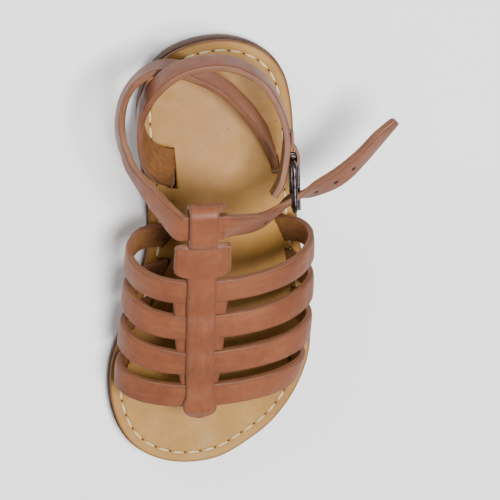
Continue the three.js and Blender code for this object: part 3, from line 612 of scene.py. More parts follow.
# A strap along a path. Folds: run in mm from the start, depth, width and slant of each soft crease.
# Its attributes: place along, across and through the strap in metres, and mm from its edge.
def strap(name, path, finishes, seed, crown=0.16, top_radius=0.55, base_radius=0.32,
          folds=(), wave=0.12, grow=0.0):
    verts, coordinates, rims = [], [], []
    run = 0.0
    last = len(path) - 1
    for i, step in enumerate(path):
        before, after = path[max(i - 1, 0)]["point"], path[min(i + 1, last)]["point"]
        if i:
            run += (step["point"] - path[i - 1]["point"]).length
        along = (after - before).normalized()
        across = along.cross(step["face"]).normalized()
        out = across.cross(along)
        lift = wave * noise.noise(Vector((run / SWAY_LENGTH, seed * 7.3, 0)))
        drift = EDGE_DRIFT * noise.noise(Vector((run / EDGE_LENGTH, seed * 3.1, 5)))
        half = step["width"] / 2 + grow + drift
        low, high = step["low"] - grow, step["high"] + grow
        for side, rise in strap_section(half, low, high, crown, top_radius, base_radius):
            bend = 0.0
            for fold in folds:
                away = (run + fold["slant"] * side - fold["run"]) / fold["width"]
                bend -= fold["depth"] * math.exp(-away * away)
            place = Vector((run / SKEW_LENGTH, side / SKEW_LENGTH, seed * 1.7))
            skew = SKEW_DEPTH * noise.noise(place)
            verts.append(step["point"] + across * side + out * (rise + lift + bend + skew))
            coordinates.append((run * MM, side * MM, rise * MM))
            rims.append(half - abs(side))
    size = SECTION_SIZE
    faces = quads(len(path), size)
    faces += [tuple(range(size)), tuple(last * size + k for k in range(size))]
    zones = [zone_of(k) for k in range(size)] * last + [1, 1]
    attributes = {"strap": ("FLOAT_VECTOR", coordinates), "rim": ("FLOAT", rims)}
    return finished(name, verts, faces, zones, finishes, attributes, sharp=50)


# Wire or drill along points, with a section that may change from its start (0) to its end (1)
def rod(name, points, section, finish, joined=False):
    count = len(points)
    guide = Vector((1, 0.2, 0.1))
    verts = []
    for i, point in enumerate(points):
        before = points[(i - 1) % count if joined else max(i - 1, 0)]
        after = points[(i + 1) % count if joined else min(i + 1, count - 1)]
        along = (after - before).normalized()
        across = (guide - along * guide.dot(along)).normalized()
        up = along.cross(across)
        guide = across
        verts += [point + across * a + up * b for a, b in section(i / (count - 1))]
    size = len(section(0))
    faces = quads(count, size, joined)
    if not joined:
        faces += [tuple(range(size)), tuple((count - 1) * size + k for k in range(size))]
    return finished(name, verts, faces, [0] * len(faces), [finish], {}, sharp=60)


def plain_mesh(piece):
    graph = bpy.context.evaluated_depsgraph_get()
    mesh = bpy.data.meshes.new_from_object(piece.evaluated_get(graph))
    piece.modifiers.clear()
    piece.data = mesh


# Cutters taken out of a piece; the walls of the cut get the piece's finish or the cutters' own
def cut(piece, cutters, wall_finish="INDEX"):
    for cutter in cutters:
        modifier = piece.modifiers.new("cut", "BOOLEAN")
        modifier.operation = "DIFFERENCE"
        modifier.solver = "EXACT"
        modifier.material_mode = wall_finish
        modifier.object = cutter
    plain_mesh(piece)
    for cutter in cutters:
        bpy.data.objects.remove(cutter)


# Node materials
def srgb(r, g, b):
    def linear(c):
        c /= 255
        return c / 12.92 if c <= 0.04045 else ((c + 0.055) / 1.055) ** 2.4
    return (linear(r), linear(g), linear(b), 1.0)


class Finish:
    def __init__(self, name, roughness, metallic=0.0, specular=0.5):
        self.material = bpy.data.materials.new(name)
        self.material.use_nodes = True
        self.tree = self.material.node_tree
        self.shader = self.tree.nodes["Principled BSDF"]
        levels = {"Roughness": roughness, "Metallic": metallic, "Specular IOR Level": specular}
        for key, value in levels.items():
            self.shader.inputs[key].default_value = value
        self.place = self.add("ShaderNodeTexCoord").outputs["Object"]

    def add(self, kind, inputs=None, **settings):
        node = self.tree.nodes.new(kind)
        for key, value in settings.items():
            setattr(node, key, value)
        for key, value in (inputs or {}).items():
            if isinstance(value, bpy.types.NodeSocket):
                self.tree.links.new(value, node.inputs[key])
            else:
                node.inputs[key].default_value = value
        return node

    def attribute(self, name, output="Fac"):
        return self.add("ShaderNodeAttribute", attribute_name=name).outputs[output]

    def scaled(self, place, scale):
        return self.add("ShaderNodeMapping", {"Vector": place, "Scale": scale}).outputs["Vector"]

    # Patterns of soft patches and of round cells, size in millimetres
    def mottle(self, place, size, detail=3.0, roughness=0.55, distortion=0.0):
        inputs = {"Vector": place, "Scale": 1000 / size, "Detail": detail,
                  "Roughness": roughness, "Distortion": distortion}
        return self.add("ShaderNodeTexNoise", inputs).outputs[0]

    def cells(self, place, size):
        inputs = {"Vector": place, "Scale": 1000 / size}
        return self.add("ShaderNodeTexVoronoi", inputs).outputs["Distance"]

    def ramp(self, value, *stops):
        node = self.add("ShaderNodeValToRGB", {"Fac": value})
        points = node.color_ramp.elements
        while len(points) < len(stops):
            points.new(0.5)
        for point, (position, colour) in zip(points, stops):
            point.position = position
            point.color = colour if isinstance(colour, tuple) else (colour, colour, colour, 1)
        return node.outputs["Color"]

    def blend(self, share, first, second):
        inputs = {0: share, 6: first, 7: second}
        return self.add("ShaderNodeMix", inputs, data_type="RGBA").outputs[2]

    # A colour laid over the tone where a pattern's ramp is high, or where the mesh is marked
    def over(self, tone, colour, pattern, *stops):
        return self.blend(self.ramp(pattern, *stops), tone, colour)

    def marked(self, tone, colour, mark, share):
        return self.blend(self.times(self.attribute(mark), share), tone, colour)

    def times(self, first, second):
        return self.add("ShaderNodeMath", {0: first, 1: second}, operation="MULTIPLY").outputs[0]

    def plus(self, first, second):
        return self.add("ShaderNodeMath", {0: first, 1: second}, operation="ADD").outputs[0]

    def bump(self, height, distance, strength, after=None):
        inputs = {"Height": height, "Distance": distance * MM, "Strength": strength}
        if after is not None:
            inputs["Normal"] = after
        return self.add("ShaderNodeBump", inputs).outputs["Normal"]

    def done(self, colour, roughness=None, normal=None):
        self.tree.links.new(colour, self.shader.inputs["Base Color"])
        if roughness is not None:
            self.tree.links.new(roughness, self.shader.inputs["Roughness"])
        if normal is not None:
            self.tree.links.new(normal, self.shader.inputs["Normal"])
        return self.material


# Each leather: its broad tone, small patches, streaks or fibres, worn edges and scuffs, then pores
def grain_leather():
    f = Finish("strap grain", 0.45, specular=0.26)
    along = f.attribute("strap", "Vector")
    tone = f.ramp(f.mottle(f.place, 26, 3, 0.6),
                  (0.28, srgb(98, 54, 34)), (0.5, srgb(116, 66, 42)), (0.72, srgb(131, 78, 51)))
    small = f.mottle(f.place, 2.6, 4, 0.65)
    tone = f.over(tone, srgb(90, 48, 32), small, (0.35, 0.0), (0.75, 0.4))
    drawn = f.mottle(f.scaled(along, (0.22, 1.4, 1)), 2.4, 3, 0.6, 0.4)
    tone = f.over(tone, srgb(142, 90, 60), drawn, (0.48, 0.0), (0.8, 0.32))
    near = f.plus(f.times(f.attribute("rim"), 0.55), f.times(f.mottle(f.place, 5, 3), 0.5))
    tone = f.over(tone, srgb(76, 40, 25), near, (0.3, 0.75), (0.52, 0.28), (0.85, 0.0))
    scuff = f.mottle(f.scaled(f.place, (1, 0.35, 1)), 1.3, 2, 0.5, 1.2)
    tone = f.over(tone, srgb(72, 38, 24), scuff, (0.68, 0.0), (0.76, 0.4))
    gloss = f.ramp(f.mottle(f.place, 7, 4, 0.6), (0.3, 0.44), (0.75, 0.66))
    pores = f.plus(f.times(f.cells(f.place, 0.42), 0.5), f.mottle(f.place, 0.8, 3))
    normal = f.bump(f.mottle(f.place, 6.5, 2), 0.5, 0.3, f.bump(pores, 0.05, 0.35))
    return f.done(tone, gloss, normal)


def edge_leather():
    f = Finish("strap edge", 0.6)
    layers = f.mottle(f.scaled(f.attribute("strap", "Vector"), (0.15, 1, 3.2)), 1.3, 3, 0.6)
    tone = f.ramp(layers,
                  (0.3, srgb(80, 45, 27)), (0.55, srgb(108, 66, 40)), (0.8, srgb(132, 87, 54)))
    tone = f.over(tone, srgb(92, 50, 28), f.mottle(f.place, 8, 3), (0.5, 0.0), (0.72, 0.6))
    return f.done(tone, None, f.bump(layers, 0.18, 0.5))


def flesh_leather():
    f = Finish("strap flesh side", 0.78, specular=0.25)
    fibres = f.mottle(f.scaled(f.attribute("strap", "Vector"), (0.3, 1, 1)), 1.1, 5, 0.7, 0.6)
    tone = f.ramp(f.mottle(f.place, 12, 3), (0.3, srgb(88, 54, 26)), (0.7, srgb(118, 76, 40)))
    tone = f.over(tone, srgb(142, 98, 58), fibres, (0.4, 0.0), (0.78, 0.6))
    tone = f.over(tone, srgb(58, 34, 18), fibres, (0.2, 0.5), (0.4, 0.0))
    return f.done(tone, None, f.bump(fibres, 0.16, 0.8))


def insole_leather():
    f = Finish("insole", 0.55, specular=0.16)
    tone = f.ramp(f.mottle(f.place, 30, 4, 0.6),
                  (0.3, srgb(130, 93, 40)), (0.52, srgb(148, 108, 49)), (0.75, srgb(162, 123, 62)))
    tone = f.marked(tone, srgb(158, 116, 74), "heel_tone", 0.7)
    wear_and_shade_amount = f.ramp(f.mottle(f.place, 9, 4, 0.65), (0.3, 0.35), (0.7, 0.9))
    # Darker at the ball and arch, under the straps: partly foot wear, partly painted shade of the
    # straps
    tone = f.marked(tone, srgb(110, 72, 36), "foot_wear_and_strap_shade", wear_and_shade_amount)
    tone = f.over(tone, srgb(128, 88, 44), f.mottle(f.place, 1.7, 4, 0.7), (0.5, 0.0), (0.8, 0.35))
    tone = f.over(tone, srgb(92, 58, 30), f.cells(f.place, 5.5), (0.03, 0.7), (0.09, 0.0))
    near = f.times(f.attribute("rim"), 0.5)
    tone = f.over(tone, srgb(110, 68, 36), near, (0.1, 0.85), (0.5, 0.0))
    tone = f.marked(tone, srgb(82, 52, 32), "wall", 0.85)
    gloss = f.ramp(f.mottle(f.place, 6, 3), (0.3, 0.42), (0.7, 0.6))
    pores = f.plus(f.cells(f.place, 0.5), f.mottle(f.place, 1.2, 4))
    normal = f.bump(f.mottle(f.place, 8, 2), 0.4, 0.25, f.bump(pores, 0.06, 0.5))
    return f.done(tone, gloss, normal)


def outsole_leather():
    f = Finish("outsole", 0.88, specular=0.2)
    tone = f.ramp(f.mottle(f.place, 24, 4, 0.65),
                  (0.3, srgb(136, 108, 84)), (0.5, srgb(158, 130, 104)),
                  (0.75, srgb(174, 148, 120)))
    nap = f.mottle(f.scaled(f.place, (1, 0.6, 1)), 0.8, 5, 0.8)
    tone = f.over(tone, srgb(98, 74, 56), nap, (0.42, 0.0), (0.68, 0.7))
    tone = f.over(tone, srgb(186, 166, 144), nap, (0.3, 0.6), (0.42, 0.0))
    patches = f.ramp(f.mottle(f.place, 8, 6, 0.75, 0.6), (0.36, 0.15), (0.6, 1.0))
    tone = f.marked(tone, srgb(92, 66, 46), "tread_dirt", patches)
    tone = f.marked(tone, srgb(124, 95, 58), "waist_stain", patches)
    streaks = f.mottle(f.scaled(f.place, (0.8, 0.5, 1)), 3, 5, 0.7)
    streaks = f.ramp(streaks, (0.44, 0.0), (0.56, 0.85))
    tone = f.marked(tone, srgb(104, 97, 96), "grey_scuff", streaks)
    side = f.mottle(f.scaled(f.place, (0.3, 0.3, 2.4)), 1.6, 4, 0.6)
    side = f.ramp(side, (0.3, srgb(58, 40, 32)), (0.7, srgb(96, 70, 56)))
    return f.done(f.blend(f.attribute("wall"), tone, side), None, f.bump(nap, 0.22, 0.8))


# Rubber with round pits, drawn streaks and a darker wall
def pitted_rubber(name, dark, middle, light, pit):
    f = Finish(name, 0.72)
    tone = f.ramp(f.mottle(f.place, 16, 5, 0.65), (0.3, dark), (0.52, middle), (0.75, light))
    pits = f.cells(f.place, 9.5)
    tone = f.over(tone, pit, pits, (0.045, 0.9), (0.085, 0.0))
    fine = f.mottle(f.place, 0.7, 4, 0.7)
    tone = f.over(tone, pit, fine, (0.45, 0.0), (0.8, 0.4))
    drawn = f.mottle(f.scaled(f.place, (1, 0.12, 1)), 3.5, 4, 0.6)
    tone = f.over(tone, dark, drawn, (0.55, 0.0), (0.75, 0.35))
    side = f.mottle(f.scaled(f.place, (0.4, 0.4, 2)), 2, 4, 0.6)
    side = f.ramp(side, (0.3, srgb(54, 38, 30)), (0.7, srgb(92, 68, 52)))
    height = f.plus(f.ramp(pits, (0.03, 0.0), (0.09, 1.0)), f.times(fine, 0.3))
    return f.done(f.blend(f.attribute("wall"), tone, side), None, f.bump(height, 0.22, 0.8))


def buckle_metal():
    f = Finish("buckle metal", 0.3, 1.0)
    wear = f.mottle(f.place, 2.2, 4, 0.7)
    tone = f.ramp(wear,
                  (0.35, srgb(54, 44, 46)), (0.62, srgb(88, 78, 78)), (0.8, srgb(150, 138, 132)))
    gloss = f.ramp(f.mottle(f.place, 1.1, 4), (0.3, 0.22), (0.75, 0.42))
    return f.done(tone, gloss, f.bump(wear, 0.05, 0.4))


def thread():
    f = Finish("cream thread", 0.7)
    twist = f.mottle(f.place, 0.35, 2)
    tone = f.ramp(twist, (0.3, srgb(158, 136, 98)), (0.7, srgb(206, 188, 150)))
    return f.done(tone, None, f.bump(twist, 0.06, 0.8))


# Near-black finish that stands for the shade inside holes: painted shade of the awl holes and of
# the punched holes' walls
def painted_hole_shade():
    f = Finish("stitch hole painted shade", 0.9)
    return f.done(f.ramp(f.mottle(f.place, 0.6), (0.3, srgb(34, 22, 14)), (0.7, srgb(62, 42, 26))))


STRAP_FINISH = [grain_leather(), edge_leather(), flesh_leather()]
INSOLE_FINISH = insole_leather()
OUTSOLE_FINISH = outsole_leather()
LIFT_FINISH = pitted_rubber("heel lift", srgb(112, 86, 42), srgb(132, 104, 54),
                            srgb(148, 120, 68), srgb(66, 46, 22))
PAD_FINISH = pitted_rubber("forefoot pad", srgb(82, 56, 29), srgb(98, 69, 37),
                           srgb(112, 81, 46), srgb(52, 34, 18))
METAL = buckle_metal()
THREAD, HOLE_SHADE = thread(), painted_hole_shade()


# Sole layers, as rings of points from the middle of the top over the edge to the middle below.
# The rings of the heel and the toe run in to the two ends of a middle line.
MIDDLE_START, MIDDLE_END = 0.17, 0.83


def sole_rim(rows):
    rim = []
    for side, order in (("lateral", range(rows + 1)), ("medial", range(rows - 1, 0, -1))):
        for i in order:
            share = (1 - math.cos(math.pi * i / rows)) / 2
            middle = min(max(share, MIDDLE_START), MIDDLE_END)
            edges = outline(middle)
            centre = Vector(((edges["medial"] + edges["lateral"]) / 2, lengthwise(middle)))
            rim.append((Vector((outline(share)[side], lengthwise(share))), centre))
    return rim


# Rings of points near the edge, in mm from it: close at the rounding and at the stitch channel
EDGE_INSETS = (0.0, 0.08, 0.2, 0.38, 0.62, 1.0, 1.6, 2.3, 2.9, 3.3,
               3.55, 3.75, 3.95, 4.15, 4.4, 4.8, 5.6, 7.0)
INNER_STEPS = 9
WALL_SPAN = (0.08, 0.92)


def sole_layer(name, finish, start, top, bottom, top_round, base_round, wall_reach, relief, marks):
    rim = sole_rim(130)
    levels = [(i / INNER_STEPS, "top") for i in range(INNER_STEPS)]
    levels += [(inset, "top_edge") for inset in reversed(EDGE_INSETS)]
    levels += [(share, "wall") for share in (0.0, 0.5, 1.0)]
    levels += [(inset, "base_edge") for inset in EDGE_INSETS]
    levels += [(1 - i / INNER_STEPS, "base") for i in range(1, INNER_STEPS + 1)]
    verts, insets, walls = [], [], []
    for value, part in levels:
        rounding = top_round if part.startswith("top") else base_round
        for edge, centre in rim:
            reach = (centre - edge).length
            if part in ("top", "base"):
                inset = start + EDGE_INSETS[-1] + (reach - start - EDGE_INSETS[-1]) * (1 - value)
            else:
                inset = start + (0 if part == "wall" else value)
            place = edge.lerp(centre, min(inset / reach, 1))
            at = share_of(place.y)
            inside = inset - start
            drop = 0.0
            if part != "wall" and inside < rounding:
                drop = rounding - math.sqrt(max(rounding ** 2 - (rounding - inside) ** 2, 0))
            high, low = top(at), bottom(at)
            if part == "wall":
                share = WALL_SPAN[0] + (WALL_SPAN[1] - WALL_SPAN[0]) * value
                z = high - top_round + (low + base_round - high + top_round) * share
            elif part.startswith("top"):
                z = high - drop + relief(place.x, at, inside, True)
            else:
                z = low + drop + relief(place.x, at, inside, False)
            verts.append(Vector((place.x, place.y, z)))
            insets.append(inside)
            walls.append(1.0 if part == "wall" or inside < wall_reach else 0.0)
    faces = quads(len(levels), len(rim))
    attributes = {"rim": ("FLOAT", insets), "wall": ("FLOAT", walls)}
    for key in marks:
        attributes[key] = ("FLOAT", [mark(key, v.x, share_of(v.y)) for v in verts])
    return finished(name, verts, faces, [0] * len(faces), [finish], attributes, 60, merge=0.02)


STITCH_INSET = 3.4
CHANNEL_DEPTH, CHANNEL_WIDTH = 0.28, 0.4


def dome(x, at, centre_x, centre_at, half_x, half_at):
    away = ((x - centre_x) / half_x) ** 2 + ((at - centre_at) * SOLE_LENGTH / half_at) ** 2
    return math.exp(-away)


PLACE = "x at half_x half_at strength"
# Hollows that a foot has pressed: heel, ball and big toe, in mm
HOLLOWS = table(
    PLACE, (2.0, 0.17, 15, 17, 0.35), (0.0, 0.68, 22, 16, 0.3), (-16.0, 0.88, 9, 8, 0.25))
# Where the insole is pinker, or darker at the ball and arch from foot wear and painted shade
# under the straps, and where the outsole is dirty, stained or scuffed
MARKS = {
    "heel_tone": table(PLACE, (0.0, 0.2, 17, 24, 1)),
    "foot_wear_and_strap_shade": table(PLACE, (0, 0.66, 26, 24, 0.9), (1, 0.45, 15, 16, 0.7)),
    "tread_dirt": table(PLACE, (0, 0.6, 40, 11, 1)),
    "waist_stain": table(PLACE, (0, 0.53, 9, 12, 1)),
    "grey_scuff": table(PLACE, (-17, 0.62, 6, 5, 1.5)),
}
TREAD_DIRT_SHARE = 0.75


def domes(rows, x, at):
    return sum(row["strength"] * dome(x, at, row["x"], row["at"], row["half_x"], row["half_at"])
               for row in rows)


def mark(name, x, at):
    amount = domes(MARKS[name], x, at)
    if name == "tread_dirt":
        amount += TREAD_DIRT_SHARE * smoothstep(at, 0.62, 0.7)
    return min(amount, 1)


def insole_relief(x, at, inside, on_top):
    if not on_top:
        return 0.0
    channel = -CHANNEL_DEPTH * math.exp(-((inside - STITCH_INSET) / CHANNEL_WIDTH) ** 2)
    sway = 0.14 * noise.noise(Vector((x / 15, at * 9, 2.0)))
    return channel + (sway - domes(HOLLOWS, x, at)) * smoothstep(inside, 0.4, 4)


def outsole_relief(x, at, inside, on_top):
    if on_top:
        return 0.0
    return 0.08 * noise.noise(Vector((x / 9, at * 14, 7.0))) * smoothstep(inside, 0, 2)


# A strap end with play round it, run on through the insole to cut its slot
SLOT_PLAY, SLOT_REACH = 0.3, 3
VAMP_END_STEPS, ANKLE_END_STEPS, HEEL_END_STEPS = 14, 9, 12


def slot_cutter(name, path, before, after):
    path = lengthened(path, before, after)
    return strap(name, path, STRAP_FINISH, 0, 0, SLOT_PLAY, SLOT_PLAY, wave=0, grow=SLOT_PLAY)


def make_sole():
    insole = sole_layer("insole_leather", INSOLE_FINISH, INSOLE_INSET, insole_top, insole_bottom,
                        top_round=0.55, base_round=0.1, wall_reach=0.15,
                        relief=insole_relief, marks=("heel_tone", "foot_wear_and_strap_shade"))
    cutters = []
    for i, path in enumerate(VAMP_PATHS):
        medial, lateral = path[:VAMP_END_STEPS], path[-VAMP_END_STEPS:]
        cutters.append(slot_cutter("slot_%d_medial" % i, medial, SLOT_REACH, 0))
        cutters.append(slot_cutter("slot_%d_lateral" % i, lateral, 0, SLOT_REACH))
    cutters.append(slot_cutter("slot_ankle", ANKLE_PATH[:ANKLE_END_STEPS], SLOT_REACH, 0))
    cutters.append(slot_cutter("slot_heel", HEEL_PATH[-HEEL_END_STEPS:], 0, SLOT_REACH))
    cut(insole, cutters)
    hold(insole, "insole_leather", "insole")
    insole.data.materials.clear()
    insole.data.materials.append(INSOLE_FINISH)
    outsole = sole_layer("outsole_leather", OUTSOLE_FINISH, 0.0, outsole_top, outsole_bottom,
                         top_round=0.35, base_round=0.5, wall_reach=0.7, relief=outsole_relief,
                         marks=("tread_dirt", "waist_stain", "grey_scuff"))
    hold(outsole, "sole_leather", "outsole")


# The CAD shape with its flats merged, its edges rounded and its walls marked for a darker finish
def rounded_copy(node, name, finish, width, slot):
    source = bpy.data.objects[node]
    piece = bpy.data.objects.new(name, source.data.copy())
    bpy.context.scene.collection.objects.link(piece)
    solid = bmesh.new()
    solid.from_mesh(piece.data)
    bmesh.ops.remove_doubles(solid, verts=solid.verts, dist=1e-6)
    flat = math.radians(1)
    bmesh.ops.dissolve_limit(solid, angle_limit=flat, verts=solid.verts, edges=solid.edges)
    solid.to_mesh(piece.data)
    solid.free()
    bevel = piece.modifiers.new("edge", "BEVEL")
    bevel.width = width * MM
    bevel.segments = 3
    bevel.limit_method = "ANGLE"
    bevel.angle_limit = math.radians(40)
    plain_mesh(piece)
    wall = piece.data.attributes.new("wall", "FLOAT", "POINT")
    upright = [math.hypot(v.normal.x, v.normal.y) for v in piece.data.vertices]
    wall.data.foreach_set("value", [smoothstep(share, 0.3, 0.8) for share in upright])
    piece.data.materials.clear()
    piece.data.materials.append(finish)
    piece.data.polygons.foreach_set("use_smooth", [True] * len(piece.data.polygons))
    piece.data.set_sharp_from_angle(angle=math.radians(32))
    hold(piece, slot, node)


# Stitches of the insole and dark bars of painted shade at its awl holes, set along a line by
# Geometry Nodes
def repeat_tree():
    tree = bpy.data.node_groups.new("repeat along line", "GeometryNodeTree")
    for name, kind in (("Line", "NodeSocketGeometry"), ("Pitch", "NodeSocketFloat"),
                       ("Piece", "NodeSocketObject"), ("Finish", "NodeSocketMaterial")):
        tree.interface.new_socket(name, in_out="INPUT", socket_type=kind)
    tree.interface.new_socket("Geometry", in_out="OUTPUT", socket_type="NodeSocketGeometry")
    add = tree.nodes.new
    source, result = add("NodeGroupInput"), add("NodeGroupOutput")
    curve, points = add("GeometryNodeMeshToCurve"), add("GeometryNodeCurveToPoints")
    points.mode = "LENGTH"
    turn, tilt = add("FunctionNodeAlignRotationToVector"), add("FunctionNodeAlignRotationToVector")
    turn.axis, turn.pivot_axis = "X", "Z"
    tilt.axis, tilt.pivot_axis = "X", "Y"
    info, instance = add("GeometryNodeObjectInfo"), add("GeometryNodeInstanceOnPoints")
    real, paint = add("GeometryNodeRealizeInstances"), add("GeometryNodeSetMaterial")
    for giver, output, taker, entry in (
            (source, "Line", curve, "Mesh"), (curve, "Curve", points, "Curve"),
            (source, "Pitch", points, "Length"), (points, "Tangent", turn, "Vector"),
            (turn, "Rotation", tilt, "Rotation"), (points, "Tangent", tilt, "Vector"),
            (source, "Piece", info, "Object"), (points, "Points", instance, "Points"),
            (info, "Geometry", instance, "Instance"), (tilt, "Rotation", instance, "Rotation"),
            (instance, "Instances", real, "Geometry"), (real, "Geometry", paint, "Geometry"),
            (source, "Finish", paint, "Material"), (paint, "Geometry", result, "Geometry")):
        tree.links.new(giver.outputs[output], taker.inputs[entry])
    return tree


REPEAT = repeat_tree()


def along_line(name, line, piece, pitch, finish):
    mesh = bpy.data.meshes.new(name)
    mesh.from_pydata([placed(v) for v in line], [(i, i + 1) for i in range(len(line) - 1)], [])
    row = bpy.data.objects.new(name, mesh)
    bpy.context.scene.collection.objects.link(row)
    modifier = row.modifiers.new("repeat", "NODES")
    modifier.node_group = REPEAT
    values = {"Pitch": pitch * MM, "Piece": piece, "Finish": finish}
    for item in REPEAT.interface.items_tree:
        if item.name in values:
            modifier[item.identifier] = values[item.name]
    plain_mesh(row)
    row.data.polygons.foreach_set("use_smooth", [True] * len(row.data.polygons))
    return row


# One stitch, or the painted shade of one awl hole: a short rounded bar
def pellet(name, length, width, height, sides, rings):
    verts = []
    for i in range(rings):
        share = -1 + 2 * i / (rings - 1)
        along = share * length / 2 * MM
        size = max(1 - abs(share) ** 4, 0.12) / 2 * MM
        verts += [(along, width * size * a, height * size * b) for a, b in circle(1, sides)]
    faces = [(a, d, c, b) for a, b, c, d in quads(rings, sides)]
    faces += [tuple(range(sides)), tuple((rings - 1) * sides + k for k in reversed(range(sides)))]
    mesh = bpy.data.meshes.new(name)
    mesh.from_pydata(verts, [], faces)
    piece = bpy.data.objects.new(name, mesh)
    bpy.context.scene.collection.objects.link(piece)
    return piece


def stitch_line():
    line = []
    for edge, centre in sole_rim(160):
        reach = (centre - edge).length
        place = edge.lerp(centre, (INSOLE_INSET + STITCH_INSET) / reach)
        at = share_of(place.y)
        z = insole_top(at) + insole_relief(place.x, at, STITCH_INSET, True)
        line.append(Vector((place.x, place.y, z)))
    return spaced(line + [line[0]], 600)


STITCH_PITCH = 5.0
STITCH_LENGTH, STITCH_WIDTH, STITCH_THICK, STITCH_RISE = 3.9, 0.85, 0.5, 0.12
AWL_LENGTH, AWL_WIDTH, AWL_THICK, AWL_RISE = 0.95, 0.9, 0.26, 0.02


def make_stitches():
    line = stitch_line()
    stitch = pellet("stitch", STITCH_LENGTH, STITCH_WIDTH, STITCH_THICK, 8, 7)
    raised = [v + Vector((0, 0, STITCH_RISE)) for v in line]
    hold(along_line("insole_stitches", raised, stitch, STITCH_PITCH, THREAD), "insole_leather")
    # Dark bars between the stitches: painted shade of the awl holes
    awl = pellet("awl", AWL_LENGTH, AWL_WIDTH, AWL_THICK, 10, 5)
    total = sum((b - a).length for a, b in zip(line, line[1:]))
    start = round(len(line) * STITCH_PITCH / 2 / total)
    between = [v + Vector((0, 0, AWL_RISE)) for v in line[start:] + line[1:start + 1]]
    hold(along_line("insole_awl_holes", between, awl, STITCH_PITCH, HOLE_SHADE), "insole_leather")
    bpy.data.objects.remove(stitch)
    bpy.data.objects.remove(awl)


def creases(*rows):
    return table("run depth width slant", *rows)


VAMP_FOLDS = [
    creases((9, 0.16, 1.4, 0.3), (15, 0.1, 1.1, -0.2), (92, 0.16, 1.5, 0.2), (99, 0.12, 1.2, -0.3)),
    creases((8, 0.14, 1.3, -0.2), (30, 0.07, 1.6, 0.5), (88, 0.15, 1.5, 0.3)),
    creases((9, 0.14, 1.3, 0.2), (74, 0.08, 1.7, -0.4), (84, 0.13, 1.3, 0.2)),
    creases((7, 0.12, 1.2, 0.1), (26, 0.06, 1.6, 0.4), (72, 0.13, 1.4, -0.2)),
]
ANKLE_FOLDS = creases(
    (8, 0.12, 1.6, 0.2), (46, 0.14, 2.2, 0.3), (78, 0.12, 2.0, -0.3), (96, 0.28, 1.5, 0.2),
    (111, 0.3, 1.4, -0.2), (133, 0.3, 1.5, 0.3), (146, 0.16, 1.4, -0.2), (160, 0.1, 2.0, 0.4))
HEEL_FOLDS = creases(
    (7, 0.1, 1.4, 0.1), (44, 0.12, 2.4, 0.3), (84, 0.12, 2.0, -0.3), (112, 0.16, 1.6, 0.3))

VAMP_PATHS = [vamp_path(rows) for rows in VAMP]
VAMP_SUNK = 1.6


def make_upper():
    for i, path in enumerate(VAMP_PATHS):
        sunk = lengthened(path, VAMP_SUNK, VAMP_SUNK)
        piece = strap("vamp_strap_%d" % (i + 1), sunk, STRAP_FINISH, 11 + i, folds=VAMP_FOLDS[i])
        hold(piece, "strap_leather", "upper")
    body = plate_path() + spine_loop_path()
    piece = strap("t_strap_with_loop", body, STRAP_FINISH, 21, 0.16, 0.6, wave=0.03)
    hold(piece, "strap_leather", "upper")
    piece = strap("t_strap_layer", spine_layer_path(), STRAP_FINISH, 23, 0.1, 0.5, wave=0.03)
    hold(piece, "strap_leather", "upper")


# A drill for a punched hole; it carries the near-black finish of painted hole shade
def drill(name, centre, axis, radius, reach=3.0):
    ends = [centre - axis * reach, centre + axis * reach]
    return rod(name, ends, lambda share: circle(radius, 20), HOLE_SHADE)


def make_ankle_strap():
    lengths = [0.0]
    for before, after in zip(ANKLE_PATH, ANKLE_PATH[1:]):
        lengths.append(lengths[-1] + (after["point"] - before["point"]).length)
    path = [dict(step, width=rounded_width(step["width"], lengths[-1] - length, TAIL_ROUND))
            for step, length in zip(ANKLE_PATH, lengths)]
    piece = strap("ankle_strap_leather", path, STRAP_FINISH, 31, folds=ANKLE_FOLDS)
    buckle = (len(ANKLE_BEFORE) + len(LOOP_ROWS) + BUCKLE_ROW) * ROW_STEPS
    cutters = []
    for k in range(FIRST_HOLE, LAST_HOLE + 1):
        target = lengths[buckle] + k * HOLE_PITCH
        i = next(n for n, length in enumerate(lengths) if length > target)
        share = (target - lengths[i - 1]) / (lengths[i] - lengths[i - 1])
        centre = ANKLE_PATH[i - 1]["point"].lerp(ANKLE_PATH[i]["point"], share)
        along = ANKLE_PATH[i]["along"]
        across = along.cross(ANKLE_PATH[i]["face"]).normalized()
        radius = HOLE_RADIUS * (1 if k else PRONG_HOLE)
        cutters.append(drill("hole_%d" % k, centre, across.cross(along), radius))
    # The hole walls take the drills' finish: painted shade inside the punched holes
    cut(piece, cutters, "TRANSFER")
    hold(piece, "strap_leather", "ankle_strap")


# From the heel strap's outer face round the buckle's bar and back
def bar_fold_path(offset):
    reach = WIRE + BUCKLE_GAP + BAR_FOLD / 2
    sunk = STRAP / 2 - BAR_DISTANCE
    flat = [Vector((-BAR_FOLD_REACH, sunk - BAR_FOLD / 4)),
            Vector((-BAR_FOLD_REACH * 0.6, sunk + BAR_FOLD / 3))]
    flat += cubic(flat[1], Vector((-BAR_FOLD_REACH * 0.4, sunk + BAR_FOLD)),
                  Vector((-2 * reach, reach)), Vector((0, reach)))
    flat += arc(Vector((0, 0)), reach, math.pi / 2, -math.pi * 0.42)
    return folded_path(flat, BAR_CENTRE + BAR_UP * offset, BAR_FORWARD, BAR_OUT,
                       BAR_FOLD_WIDTH, -BAR_FOLD / 2, BAR_FOLD / 2, 60)


def make_heel_strap():
    piece = strap("heel_strap_leather", HEEL_PATH, STRAP_FINISH, 41, folds=HEEL_FOLDS)
    hold(piece, "strap_leather", "heel_strap")
    offset = PRONG + BUCKLE_GAP + BAR_FOLD_WIDTH / 2
    for name, side in (("bar_fold_upper", 1), ("bar_fold_lower", -1)):
        path = bar_fold_path(side * offset)
        fold = strap(name, path, STRAP_FINISH, 43 + side, 0.05, 0.3, 0.25, wave=0.0)
        hold(fold, "strap_leather", "heel_strap")


